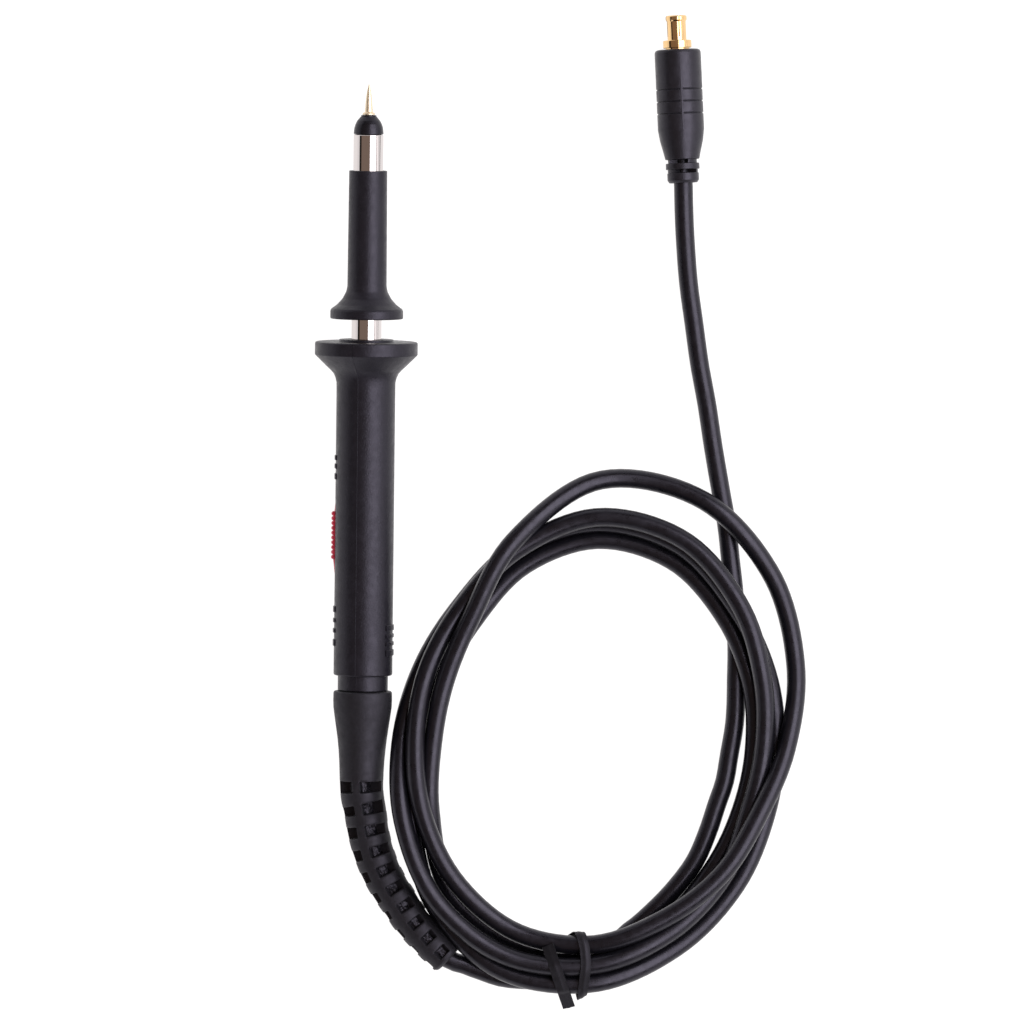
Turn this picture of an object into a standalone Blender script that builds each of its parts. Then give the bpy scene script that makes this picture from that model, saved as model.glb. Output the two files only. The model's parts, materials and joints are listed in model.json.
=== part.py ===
"""Oscilloscope probe with a fixed tip, a slide switch in its handle, and a lead that ends in a coaxial plug.

World frame: metres, +Z up, z = 0 is the table. The probe lies along Y with its tip at +Y, and its front
flange and its strain relief touch the table. "back" below is a distance in mm behind the needle's point,
measured along the probe's axis. "reach" is a distance in mm behind the plug's mouth along the plug's axis.
Profiles are lists of (radius, back) or (radius, reach), in mm.
"""

import math

import bmesh
import bpy
import numpy as np
from mathutils import Matrix, Vector

MM = 0.001

# Driving dimensions of the probe, in mm.
TILT = math.radians(3.5)  # the flange holds the tip up
MOULD_LINE = math.radians(15)  # the shells' joint is turned this far from the top, towards -X
ROUND = 36  # sides of the large turned pieces
SMALL_ROUND = 24  # sides of the small turned pieces
NOSE_BACK = 5.25
BARREL_BACK = 8.3
BARREL_RADIUS = 2.5
BARREL_WALL = 0.35
NEEDLE_END = 14.0
SLEEVE_BACK = 14.3
SLEEVE_END = 38.75
HANDLE_BACK = 41.95
FLANGE_BACK = 42.6
FLANGE_RADIUS = 8.5
FLANGE_RIM_END = 44.6
HANDLE_RADIUS = 4.865
HANDLE_END = 97.85
NECK_RADIUS = 4.15
NECK_END = 100.3
SPIGOT_RADIUS = 3.3
SPIGOT_END = 106.0
CAVITY_BACK = 48.2
CAVITY_END = 93.0
CAVITY_RADIUS = 3.45
FIT = 0.15  # clearance between round pieces that fit into each other
SHELL_GAP = 0.1  # between the handle's two shells

# The slide switch and the trimmer, on the side of the handle that faces -X and a little down.
WINDOW_BACK = 68.8
WINDOW_END = 84.0
WINDOW_WIDTH = 3.3
KNOB_BACK = 69.0
KNOB_END = 81.4
GRIP_BACK = 70.7
GRIP_END = 78.7
GRIP_RIBS = 10
GRIP_HEIGHT = 5.5
GRIP_GROOVE = 0.22
PLATE_BACK = 66.2
PLATE_END = 84.4
PLATE_WIDTH = 3.8
TRIMMER_BACK = 57.0
TRIMMER_WIDTH = 3.2
TRIMMER_HOLE_RADIUS = 1.2

# The circuit board inside, with heights above the shells' joint towards the switch.
BOARD_BACK = 51.5
BOARD_END = 92.0
BOARD_TOP = -0.7
BOARD_THICKNESS = 0.8
BOARD_WIDTH = 5.6
SOLDER = 0.2  # between the board and the pieces on it
HOUSING_BACK = 66.0
HOUSING_END = 86.0
CLIP_WIDTH = 2.0
CLIP = [(-1.8, 49.6), (-1.8, 58.0), (-2.1, 58.0), (-2.1, 49.9), (-3.0, 49.9), (-3.0, 49.6)]  # height, back

# Strain relief: ten rows of windows with four spines between them.
BOOT_BACK = 100.5
BOOT_ROWS = 10
BOOT_FIRST_ROW = 116.3
BOOT_FIRST_PITCH = 3.7
BOOT_PITCH_LOSS = 0.09
BOOT_OPEN_SHARE = 0.58
BOOT_SPINE = math.radians(21)
BOOT_CORE_RADIUS = 2.05
BOOT_WINDOW_SIDES = 3
BOOT_END_RADIUS = 2.45
BOOT_ROUTE = [  # its bent axis on the ground plane with its height, in mm
    (0.0, -63.4, 4.10),
    (0.6, -67.0, 3.92),
    (1.2, -70.7, 3.73),
    (2.1, -74.0, 3.56),
    (3.1, -77.3, 3.38),
    (4.5, -80.4, 3.21),
    (6.2, -82.9, 3.06),
    (7.9, -85.3, 2.91),
    (9.8, -87.6, 2.76),
    (11.8, -89.7, 2.62),
    (14.3, -91.7, 2.48),
]

# The lead, in mm.
CORD_RADIUS = 1.5
CORD_START_ROUTE = [(14.65, -91.9, 2.35), (16.3, -92.4, 1.95), (18.5, -93.05, 1.65)]
CORD_LEAD_ROUTE = [
    (58.85, -12.9, 1.55),
    (57.6, -6.0, 1.55),
    (56.5, 0.8, 1.55),
    (55.2, 7.5, 1.55),
    (54.2, 14.2, 1.7),
    (53.2, 21.0, 2.2),
    (52.6, 27.8, 3.0),
    (52.3, 33.0, 3.65),
    (52.2, 36.9, 3.85),
]
COIL_CENTRE = (38.7, -55.8)
COIL_START = -90.0  # degrees: the foot of the coil, where the tie holds it
COIL_HEIGHT = 6.2
TURNS = [  # each turn's distance from the coil's centre, at 16 even stations anticlockwise from the foot
    [37.6, 31.8, 28.2, 26.4, 26.3, 27.7, 30.0, 33.0, 34.0, 32.0, 28.9, 28.0, 28.9, 32.6, 36.8, 39.3],
    [39.4, 35.7, 32.7, 30.3, 29.9, 30.7, 32.5, 35.8, 37.0, 35.7, 32.9, 31.6, 32.3, 34.3, 37.0, 36.6],
    [36.0, 33.3, 30.3, 27.7, 27.8, 29.7, 33.2, 36.9, 37.7, 35.2, 32.3, 30.5, 29.9, 30.6, 32.2, 33.0],
    [33.0, 30.8, 29.8, 29.3, 31.6, 35.7, 40.6, 44.3, 43.4, 36.3, 29.8, 27.1, 27.0, 29.3, 32.3, 34.0],
    [33.5, 28.4, 23.9, 22.3, 22.9, 25.2, 30.0],
]
COIL_LEAD_IN = [(-117.0, 42.1), (-113.0, 41.8), (-108.0, 41.0), (-99.0, 39.2)]  # degrees, radius
TIE_X = 36.4
TIE_WIDTH = 1.75
TIE_THICKNESS = 0.5
TIE_STRIP = [  # (y, z) of the strip's inner face, and the direction in which it is thick
    (-97.0, 0.8, 0, -1),
    (-86.9, 0.8, 0, -1),
    (-86.3, 1.1, 1, -1),
    (-86.1, 1.8, 1, 0),
    (-86.1, 5.5, 1, 0),
    (-86.35, 6.15, 1, 1),
    (-87.0, 6.4, 0, 1),
    (-97.1, 6.4, 0, 1),
    (-97.8, 6.0, -1, 1),
    (-98.1, 5.0, -1, 0),
    (-98.2, 3.2, -1, 0),
    (-98.7, 1.6, -1, 0.3),
]

# The plug, in mm.
PLUG_FOOT = (52.16, 37.4)
PLUG_MOUTH = (50.62, 65.16)
PLUG_HEIGHT = 3.86
PLUG_BODY_RADIUS = 3.835
PLUG_BODY_REACH = 5.6
PLUG_GROOVES = (12.25, 14.25, 16.25)
PLUG_GROOVE_DEPTH = 0.2

BLACK_PLASTIC = ((0.018, 0.018, 0.02), 0.5, 0.0)
BLACK_RUBBER = ((0.014, 0.014, 0.015), 0.6, 0.0)
CABLE_BLACK = ((0.012, 0.012, 0.013), 0.42, 0.0)
RED_PLASTIC = ((0.55, 0.02, 0.035), 0.38, 0.0)
WHITE_PLASTIC = ((0.8, 0.8, 0.77), 0.4, 0.0)
NICKEL = ((0.68, 0.66, 0.64), 0.16, 1.0)
GOLD = ((0.85, 0.55, 0.2), 0.22, 1.0)
TIN = ((0.6, 0.61, 0.62), 0.35, 1.0)
COPPER = ((0.8, 0.4, 0.26), 0.35, 1.0)
BOARD_GREEN = ((0.02, 0.16, 0.06), 0.4, 0.0)
CERAMIC = ((0.55, 0.42, 0.26), 0.5, 0.0)


def clear_scene():
    for obj in list(bpy.data.objects):
        bpy.data.objects.remove(obj)


def collection(name, hidden=False):
    made = bpy.data.collections.new(name)
    bpy.context.scene.collection.children.link(made)
    made.hide_render = hidden
    return made


def material(name, look):
    colour, roughness, metallic = look
    made = bpy.data.materials.new(name)
    made.use_nodes = True
    shader = made.node_tree.nodes["Principled BSDF"]
    shader.inputs["Base Color"].default_value = (*colour, 1)
    shader.inputs["Roughness"].default_value = roughness
    shader.inputs["Metallic"].default_value = metallic
    return made


def add(name, data, look, parent=None, place=None):
    """An object of the probe, in its own material."""
    obj = bpy.data.objects.new(name, data)
    if look is None:
        obj.hide_render = True
        obj.display_type = "WIRE"
        CUTTERS.objects.link(obj)
    else:
        data.materials.append(material(name, look))
        PROBE.objects.link(obj)
    obj.parent = parent
    if place is not None:
        obj.location = Vector(place) * MM
    return obj


def add_empty(name, matrix, parent=None):
    obj = bpy.data.objects.new(name, None)
    PROBE.objects.link(obj)
    obj.parent = parent
    obj.matrix_local = matrix
    return obj


def height_of(back):
    """A distance behind the point as a local Z, both in mm. The origin is at the flange's rim."""
    return FLANGE_RIM_END - back


def turned(name, look, profile, sides=SMALL_ROUND, parent=None, z_of=height_of, ring=False):
    """A turned piece. profile is (radius, distance back) from front to back along its outer side, in mm.
    A ring's profile goes on round its bore and closes on itself."""
    mesh = bpy.data.meshes.new(name)
    points = [(radius * MM, 0, z_of(back) * MM) for radius, back in profile]
    edges = [(i, i + 1) for i in range(len(points) - 1)]
    if ring:
        edges.append((len(points) - 1, 0))
    mesh.from_pydata(points, edges, [])
    obj = add(name, mesh, look, parent)
    screw = obj.modifiers.new("Turn", "SCREW")
    screw.steps = screw.render_steps = sides
    screw.use_merge_vertices = True
    screw.merge_threshold = 1e-6
    screw.use_smooth_shade = True
    return obj


def box(name, look, low, high, parent=None, bevel=0.0):
    """A block between two corners, in mm."""
    low, high = Vector(low) * MM, Vector(high) * MM
    bm = bmesh.new()
    size = Matrix.Diagonal((*(high - low), 1))
    bmesh.ops.create_cube(bm, size=1, matrix=Matrix.Translation((low + high) / 2) @ size)
    mesh = bpy.data.meshes.new(name)
    bm.to_mesh(mesh)
    bm.free()
    obj = add(name, mesh, look, parent)
    if bevel:
        edge = obj.modifiers.new("Edges", "BEVEL")
        edge.width = bevel * MM
        edge.segments = 2
    return obj


def outline(name, look, loops, depth, parent=None, matrix=None):
    """A flat outline, or one with holes, extruded half of depth to each side. Points are in mm."""
    curve = bpy.data.curves.new(name, "CURVE")
    curve.dimensions = "2D"
    curve.fill_mode = "BOTH"
    curve.extrude = depth / 2 * MM
    for loop in loops:
        spline = curve.splines.new("POLY")
        spline.points.add(len(loop) - 1)
        for point, (x, y) in zip(spline.points, loop):
            point.co = (x * MM, y * MM, 0, 1)
        spline.use_cyclic_u = True
    obj = add(name, curve, look, parent)
    if matrix is not None:
        obj.matrix_local = matrix
    return obj


def as_mesh(obj):
    """The curve object as a mesh object of the same name, with its caps welded, so that it takes a Boolean."""
    bpy.context.view_layer.update()
    graph = bpy.context.evaluated_depsgraph_get()
    mesh = bpy.data.meshes.new_from_object(obj.evaluated_get(graph))
    bm = bmesh.new()
    bm.from_mesh(mesh)
    bmesh.ops.remove_doubles(bm, verts=bm.verts, dist=1e-6)
    bmesh.ops.recalc_face_normals(bm, faces=bm.faces)
    bm.to_mesh(mesh)
    bm.free()
    name = obj.name
    made = bpy.data.objects.new(name + "_mesh", mesh)
    obj.users_collection[0].objects.link(made)
    made.hide_render = obj.hide_render
    made.display_type = obj.display_type
    made.parent = obj.parent
    made.matrix_local = obj.matrix_local
    bpy.data.objects.remove(obj)
    made.name = name
    return made


def boolean(obj, other, operation="DIFFERENCE"):
    step = obj.modifiers.new(other.name, "BOOLEAN")
    step.operation = operation
    step.object = other


def tube(name, look, points, radius):
    """A round cord through points in mm, eight-sided."""
    curve = bpy.data.curves.new(name, "CURVE")
    curve.dimensions = "3D"
    curve.bevel_depth = radius * MM
    curve.bevel_resolution = 2
    curve.use_fill_caps = True
    spline = curve.splines.new("POLY")
    spline.points.add(len(points) - 1)
    for point, place in zip(spline.points, points):
        point.co = (*(Vector(place) * MM), 1)
    return add(name, curve, look)


def smooth_route(points, spacing):
    """Points this far apart along a smooth curve (Catmull-Rom) through the route's own."""
    known = np.array(points, float)
    padded = np.vstack([2 * known[0] - known[1], known, 2 * known[-1] - known[-2]])
    steps = np.linspace(0, 1, 12, endpoint=False)[:, None]
    dense = []
    for a, b, c, d in zip(padded, padded[1:], padded[2:], padded[3:]):
        cubic = 2 * b + (c - a) * steps + (2 * a - 5 * b + 4 * c - d) * steps**2
        dense.append((cubic + (3 * b - a - 3 * c + d) * steps**3) / 2)
    dense = np.vstack([*dense, known[-1:]])
    along = np.concatenate([[0], np.cumsum(np.linalg.norm(np.diff(dense, axis=0), axis=1))])
    count = max(2, round(along[-1] / spacing) + 1)
    stations = np.linspace(0, along[-1], count)
    return np.stack([np.interp(stations, along, dense[:, i]) for i in range(3)], axis=1)


def loft(name, look, sections, closed=False):
    """Skin over equal sections, each a loop of points in mm, capped unless the last meets the first."""
    bm = bmesh.new()
    loops = [[bm.verts.new(Vector(point) * MM) for point in section] for section in sections]
    pairs = list(zip(loops, loops[1:]))
    if closed:
        pairs.append((loops[-1], loops[0]))
    else:
        bm.faces.new(loops[0])
        bm.faces.new(loops[-1])
    for first, second in pairs:
        count = len(first)
        for i in range(count):
            bm.faces.new((first[i], first[(i + 1) % count], second[(i + 1) % count], second[i]))
    bmesh.ops.recalc_face_normals(bm, faces=bm.faces)
    if bm.calc_volume(signed=True) < 0:
        bmesh.ops.reverse_faces(bm, faces=bm.faces)
    mesh = bpy.data.meshes.new(name)
    bm.to_mesh(mesh)
    bm.free()
    mesh.shade_smooth()
    mesh.set_sharp_from_angle(angle=math.radians(40))
    return add(name, mesh, look)


def arc(centre, radius, first, last, count):
    """Points on an arc: centre is (radius, back), and angles are in degrees from +radius to +back."""
    turn = [math.radians(first + (last - first) * i / (count - 1)) for i in range(count)]
    return [(centre[0] + radius * math.cos(a), centre[1] + radius * math.sin(a)) for a in turn]


def probe_axis():
    """An empty with +Z towards the point, +X across and +Y down, at the rear edge of the flange's rim."""
    rear = height_of(SPIGOT_END) * math.cos(TILT) - SPIGOT_RADIUS * math.sin(TILT)
    front = height_of(0) * math.cos(TILT)
    place = Vector((0, -(rear + front) / 2, FLANGE_RADIUS * math.cos(TILT))) * MM
    turn = Matrix.Rotation(TILT - math.pi / 2, 4, "X")
    return add_empty("probe_axis", Matrix.Translation(place) @ turn)


def inside_axis(probe):
    """An empty turned so that +X faces out through the switch's window and Y lies in the shells' joint."""
    return add_empty("inside_axis", Matrix.Rotation(math.pi - MOULD_LINE, 4, "Z"), probe)


def tip_pieces(probe):
    needle = [(0, 0), (0.07, 0.08), (0.2, 0.9), (0.42, 2.8), (0.55, 4.3), (0.62, 4.75), (1.2, 4.85)]
    needle += [(1.2, 5.1), (0.5, 5.1), (0.5, NEEDLE_END), (0, NEEDLE_END)]
    turned("probe_needle", GOLD, needle, parent=probe)
    dome = [(1.15, NOSE_BACK), (1.5, 5.5), (1.85, 6.05), (2.1, 6.8), (2.35, 7.6), (2.48, 8.2)]
    stub = BARREL_RADIUS - BARREL_WALL - FIT
    nose = dome + [(stub, 8.2), (stub, 13.0), (0.65, 13.0), (0.65, NOSE_BACK)]
    turned("nose_insulator", BLACK_PLASTIC, nose, parent=probe, ring=True)
    bore = BARREL_RADIUS - BARREL_WALL
    collar_front, collar_end = CAVITY_BACK + 0.2, CAVITY_BACK + 1.1
    barrel = [(BARREL_RADIUS - 0.1, BARREL_BACK), (BARREL_RADIUS, BARREL_BACK + 0.1)]
    barrel += [(BARREL_RADIUS, collar_front), (3.2, collar_front), (3.2, collar_end), (bore, collar_end)]
    barrel += [(bore, BARREL_BACK)]
    turned("ground_barrel", NICKEL, barrel, ROUND, probe, ring=True)
    liner = [(1.95, 13.3), (1.95, 46.0), (1.6, 46.0), (1.6, 13.3)]
    turned("barrel_liner", WHITE_PLASTIC, liner, parent=probe, ring=True)
    resistor = [(0, 14.3), (0.3, 14.3), (0.3, 18.0), (0.95, 18.1), (1.1, 18.4), (1.1, 19.6), (0.95, 20.0)]
    resistor += [(0.95, 25.0), (1.1, 25.4), (1.1, 26.6), (0.95, 26.9), (0.3, 27.0), (0.3, 30.0), (0, 30.0)]
    turned("tip_resistor", CERAMIC, resistor, parent=probe)
    wire = [(0, 30.3), (0.35, 30.3), (0.35, 54.0), (0, 54.0)]
    turned("signal_wire", COPPER, wire, 12, probe)


def barrel_sleeve(probe):
    bore = BARREL_RADIUS + FIT
    profile = [(2.95, SLEEVE_BACK), (3.1, 14.4), (3.15, 14.6), (3.25, 33.4), (3.35, 34.1), (3.6, 34.8)]
    profile += [(4.1, 35.6), (4.75, 36.3), (5.5, 36.8), (5.95, 37.1)]
    profile += arc((5.83, 37.5), 0.2, -60, 0, 3)
    profile += arc((5.83, SLEEVE_END - 0.2), 0.2, 0, 90, 4)
    profile += [(bore, SLEEVE_END), (bore, SLEEVE_BACK)]
    turned("barrel_sleeve", BLACK_PLASTIC, profile, ROUND, probe, ring=True)


def handle_profile():
    outer = [(4.35, HANDLE_BACK), (4.5, HANDLE_BACK + 0.15), (4.6, FLANGE_BACK)]
    outer += arc((FLANGE_RADIUS - 0.3, FLANGE_BACK + 0.3), 0.3, -90, 0, 4)
    outer += arc((FLANGE_RADIUS - 0.2, FLANGE_RIM_END), 0.2, 0, 60, 3)
    outer += [(7.4, 45.75), (6.5, 46.75), (5.75, 47.8), (5.25, 48.7), (4.95, 49.7), (HANDLE_RADIUS, 50.6)]
    outer += arc((HANDLE_RADIUS - 0.4, HANDLE_END - 0.4), 0.4, 0, 90, 4)
    outer += [(NECK_RADIUS, HANDLE_END), (NECK_RADIUS, NECK_END), (SPIGOT_RADIUS, NECK_END)]
    outer += [(SPIGOT_RADIUS, SPIGOT_END)]
    cable_bore, ferrule_bore, barrel_bore = 1.7, 2.6, BARREL_RADIUS + FIT
    bore = [(cable_bore, SPIGOT_END), (cable_bore, 98.5), (ferrule_bore, 98.5), (ferrule_bore, CAVITY_END)]
    bore += [(CAVITY_RADIUS, CAVITY_END), (CAVITY_RADIUS, CAVITY_BACK), (barrel_bore, CAVITY_BACK)]
    bore += [(barrel_bore, HANDLE_BACK)]
    return outer + bore


def handle_shells(probe, inside):
    """Two shells that meet on the plane through the probe's axis and the mould line."""
    wide = 2 * FLANGE_RADIUS
    front, back = height_of(HANDLE_BACK - 1), height_of(SPIGOT_END + 1)
    halves = {
        "handle_shell_switch_side": ((-wide, -wide, back), (SHELL_GAP / 2, wide, front)),
        "handle_shell_plain_side": ((-SHELL_GAP / 2, -wide, back), (wide, wide, front)),
    }
    for name, (low, high) in halves.items():
        shell = turned(name, BLACK_PLASTIC, handle_profile(), ROUND, probe, ring=True)
        boolean(shell, box(name + "_other_half", None, low, high, inside))
    shell = bpy.data.objects["handle_shell_switch_side"]
    half = WINDOW_WIDTH / 2
    low, high = (1.0, -half, height_of(WINDOW_END)), (9.0, half, height_of(WINDOW_BACK))
    boolean(shell, box("switch_window", None, low, high, inside))
    depth = 6.0
    bm = bmesh.new()
    bmesh.ops.create_cone(
        bm,
        cap_ends=True,
        segments=SMALL_ROUND,
        radius1=TRIMMER_HOLE_RADIUS * MM,
        radius2=TRIMMER_HOLE_RADIUS * MM,
        depth=depth * MM,
        matrix=Matrix.Rotation(math.pi / 2, 4, "Y"),
    )
    mesh = bpy.data.meshes.new("trimmer_hole")
    bm.to_mesh(mesh)
    bm.free()
    boolean(shell, add("trimmer_hole", mesh, None, inside, (depth, 0, height_of(TRIMMER_BACK))))


def board_pieces(inside):
    half = BOARD_WIDTH / 2
    low = (BOARD_TOP - BOARD_THICKNESS, -half, height_of(BOARD_END))
    box("circuit_board", BOARD_GREEN, low, (BOARD_TOP, half, height_of(BOARD_BACK)), inside)
    seat = BOARD_TOP + SOLDER
    low, high = (seat, -0.65, height_of(63.6)), (0.4, 0.65, height_of(61.4))
    box("fixed_capacitor", CERAMIC, low, high, inside, 0.1)
    low, high = (seat, 1.1, height_of(90.0)), (0.05, 2.0, height_of(88.2))
    box("damping_resistor", CERAMIC, low, high, inside, 0.08)
    side_view = Matrix.Rotation(math.pi / 2, 4, "X")
    clip = [(height, height_of(back)) for height, back in CLIP]
    outline("ground_clip", TIN, [clip], CLIP_WIDTH, inside, side_view)
    core = [(0, 86.4), (0.25, 86.4), (0.25, 88.0), (0.5, 88.0), (0.5, 92.7), (0, 92.7)]
    turned("cable_core", WHITE_PLASTIC, core, 12, inside)
    ferrule = [(2.35, 93.4), (2.4, 93.5), (2.4, 98.1), (2.35, 98.2), (1.65, 98.2), (1.65, 93.4)]
    turned("crimp_ferrule", TIN, ferrule, parent=inside, ring=True)


def switch_pieces(inside):
    """The switch's housing, a channel whose section is drawn as (height, across), and its sliding contact."""
    seat = BOARD_TOP + SOLDER
    channel = [(seat, -2.2), (1.3, -2.2), (1.3, -1.7), (0.0, -1.7)]
    channel += [(height, -across) for height, across in reversed(channel)]
    centre = height_of((HOUSING_BACK + HOUSING_END) / 2) * MM
    length = HOUSING_END - HOUSING_BACK
    outline("switch_housing", BLACK_PLASTIC, [channel], length, inside, Matrix.Translation((0, 0, centre)))
    low, high = (0.2, -1.4, height_of(80.5)), (1.3, 1.4, height_of(72.5))
    box("switch_contact", TIN, low, high, inside, 0.15)
    switch_knob(inside)


def switch_knob(inside):
    """The red slider: a crowned bar that fills the window, a ribbed grip on it, and a wide plate inside."""
    side = [(2.6, KNOB_BACK), (4.8, KNOB_BACK), (4.98, GRIP_BACK)]
    pitch = (GRIP_END - GRIP_BACK) / GRIP_RIBS
    for i in range(GRIP_RIBS):
        back = GRIP_BACK + i * pitch
        side += [(GRIP_HEIGHT - GRIP_GROOVE, back), (GRIP_HEIGHT, back + 0.3 * pitch)]
        side += [(GRIP_HEIGHT, back + 0.7 * pitch), (GRIP_HEIGHT - GRIP_GROOVE, back + 0.98 * pitch)]
    side += [(5.12, GRIP_END), (4.8, KNOB_END), (2.6, KNOB_END)]
    side = [(height, height_of(back)) for height, back in side]
    side_view = Matrix.Rotation(math.pi / 2, 4, "X")
    bar = as_mesh(outline("switch_knob", RED_PLASTIC, [side], WINDOW_WIDTH - 2 * FIT, inside, side_view))
    half = PLATE_WIDTH / 2
    low, high = (1.5, -half, height_of(PLATE_END)), (2.7, half, height_of(PLATE_BACK))
    plate = box("knob_plate", None, low, high, inside)
    boolean(bar, plate, "UNION")


def trimmer_pieces(inside):
    """The trimmer's body on the board, and its rotor, which is turned with a screwdriver through the hole."""
    half = TRIMMER_WIDTH / 2
    middle = height_of(TRIMMER_BACK)
    low, high = (BOARD_TOP + SOLDER, -half, middle - half), (1.5, half, middle + half)
    box("trimmer_body", WHITE_PLASTIC, low, high, inside, 0.15)
    out = Matrix.Translation((0, 0, middle * MM)) @ Matrix.Rotation(math.pi / 2, 4, "Y")
    rotor_axis = add_empty("trimmer_axis", out, inside)
    rotor = [(0, -2.65), (0.95, -2.65), (1.05, -2.55), (1.05, -1.7), (0, -1.7)]
    rotor = turned("trimmer_rotor", TIN, rotor, parent=rotor_axis, z_of=lambda back: -back)
    boolean(rotor, box("rotor_slot", None, (-0.15, -2.0, 2.25), (0.15, 2.0, 3.5), rotor_axis))


def boot_route(probe, start):
    """The strain relief's axis, 1 mm apart: straight on from the probe, then along the bend."""
    bpy.context.view_layer.update()
    straight = [probe.matrix_world @ Vector((0, 0, height_of(back) * MM)) / MM for back in (start, 108.0)]
    return smooth_route([tuple(p) for p in straight] + BOOT_ROUTE, 1.0)


def frames(route):
    """(point, across, up) along a route: up is the normal nearest to +Z, and across is to its right."""
    tangents = np.gradient(route, axis=0)
    for point, tangent in zip(route, tangents):
        along = Vector(tangent).normalized()
        up = (Vector((0, 0, 1)) - along * along.z).normalized()
        yield Vector(point), up.cross(along), up


def boot_angles():
    """(angle from the top towards +X, whether a spine is there), with a narrow step at each window's edge."""
    step = math.radians(1.2)
    found = []
    for i in range(4):
        spine = -MOULD_LINE + i * math.pi / 2
        found += [(spine - BOOT_SPINE / 2, True), (spine + BOOT_SPINE / 2, True)]
        open_from = spine + BOOT_SPINE / 2 + step
        open_to = spine + math.pi / 2 - BOOT_SPINE / 2 - step
        for j in range(BOOT_WINDOW_SIDES + 1):
            found.append((open_from + (open_to - open_from) * j / BOOT_WINDOW_SIDES, False))
    return found


def boot_stations(length):
    """(distance along the strain relief, outer radius, whether windows are open there)."""
    head = [(0.0, 4.6), (0.2, 4.8), (0.5, 4.85), (2.7, 4.85), (6.1, 4.35), (9.9, 3.85)]
    head += [(11.7, 3.72), (13.7, 3.65)]
    found = [(along, radius, False) for along, radius in head]

    def spine_radius(along):
        share = (along - head[-1][0]) / (length - head[-1][0])
        return head[-1][1] + (BOOT_END_RADIUS - head[-1][1]) * share

    centre = BOOT_FIRST_ROW - BOOT_BACK
    pitch = BOOT_FIRST_PITCH
    for _ in range(BOOT_ROWS):
        half = pitch * BOOT_OPEN_SHARE / 2
        for along, is_open in ((-half, False), (-half + 0.06, True), (half - 0.06, True), (half, False)):
            found.append((centre + along, spine_radius(centre + along), is_open))
        centre += pitch
        pitch -= BOOT_PITCH_LOSS
    found.append((length - 0.3, BOOT_END_RADIUS, False))
    found.append((length, BOOT_END_RADIUS - 0.3, False))
    return found


def strain_relief(route):
    along_route = np.concatenate([[0], np.cumsum(np.linalg.norm(np.diff(route, axis=0), axis=1))])
    axis = list(frames(route))

    def ring(along, radii):
        share = np.interp(along, along_route, range(len(route)))
        i = min(int(share), len(route) - 2)
        part = share - i
        point = axis[i][0].lerp(axis[i + 1][0], part)
        across = axis[i][1].lerp(axis[i + 1][1], part).normalized()
        up = axis[i][2].lerp(axis[i + 1][2], part).normalized()
        turns = zip(radii, boot_angles())
        return [point + radius * (up * math.cos(a) + across * math.sin(a)) for radius, (a, _) in turns]

    length = float(along_route[-1])
    angles = boot_angles()
    sections = []
    for along, radius, is_open in boot_stations(length):
        radii = [radius if spine or not is_open else BOOT_CORE_RADIUS for _, spine in angles]
        sections.append(ring(along, radii))
    cable_bore, spigot_bore, step = CORD_RADIUS + FIT, SPIGOT_RADIUS + FIT, SPIGOT_END - BOOT_BACK + 0.4
    bore = [(float(along), cable_bore) for along in np.linspace(length, step, 12)]
    bore += [(step - 0.02, spigot_bore), (0.0, spigot_bore)]
    for along, radius in bore:
        sections.append(ring(along, [radius] * len(angles)))
    loft("strain_relief", BLACK_RUBBER, sections, closed=True)


def coil_outline():
    """The coil's outer and inner outline: the furthest and nearest strand, and half a cord more."""
    stations = 16
    radii = [radius for turn in TURNS for radius in turn]
    angles = [COIL_START + i * 360 / stations for i in range(len(radii))]
    angles = [angle for angle, _ in COIL_LEAD_IN] + angles
    radii = [radius for _, radius in COIL_LEAD_IN] + radii
    sides = 60
    outer, inner = [], []
    for i in range(sides):
        angle = angles[0] + 3.0 + i * 360 / sides
        turns = [angle + 360 * k for k in range(len(TURNS))]
        passes = [np.interp(turn, angles, radii) for turn in turns if turn <= angles[-1]]
        direction = np.array((math.cos(math.radians(angle)), math.sin(math.radians(angle))))
        outer.append(np.array(COIL_CENTRE) + (max(passes) + CORD_RADIUS) * direction)
        inner.append(np.array(COIL_CENTRE) + (min(passes) - CORD_RADIUS) * direction)
    return outer, inner


def cord_pieces(cable_axis):
    tube("cable_end", CABLE_BLACK, cable_axis[:-1:2], CORD_RADIUS)
    tube("cord_start", CABLE_BLACK, smooth_route(CORD_START_ROUTE, 2.0), CORD_RADIUS)
    tube("cord_lead", CABLE_BLACK, smooth_route(CORD_LEAD_ROUTE, 5.0), CORD_RADIUS)
    lift = Matrix.Translation((0, 0, COIL_HEIGHT / 2 * MM))
    coil = as_mesh(outline("cord_coil", CABLE_BLACK, coil_outline(), COIL_HEIGHT, matrix=lift))
    half = TIE_WIDTH / 2 + 0.4
    across = TIE_STRIP[0][0]
    notch = box("tie_notch", None, (TIE_X - half, across - 5, -1), (TIE_X + half, across + 17, 1.0))
    boolean(coil, notch)


def twist_tie():
    """A flat strip round the foot of the coil, with its end bent down beside it."""
    outer = []
    for across, up, *out in TIE_STRIP:
        out = Vector(out).normalized() * TIE_THICKNESS
        outer.append((across + out.x, up + out.y))
    inner = [(across, up) for across, up, *_ in TIE_STRIP]
    from_the_side = Matrix(((0, 0, 1, TIE_X * MM), (1, 0, 0, 0), (0, 1, 0, 0), (0, 0, 0, 1)))
    outline("twist_tie", BLACK_PLASTIC, [inner + outer[::-1]], TIE_WIDTH, matrix=from_the_side)


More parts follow.
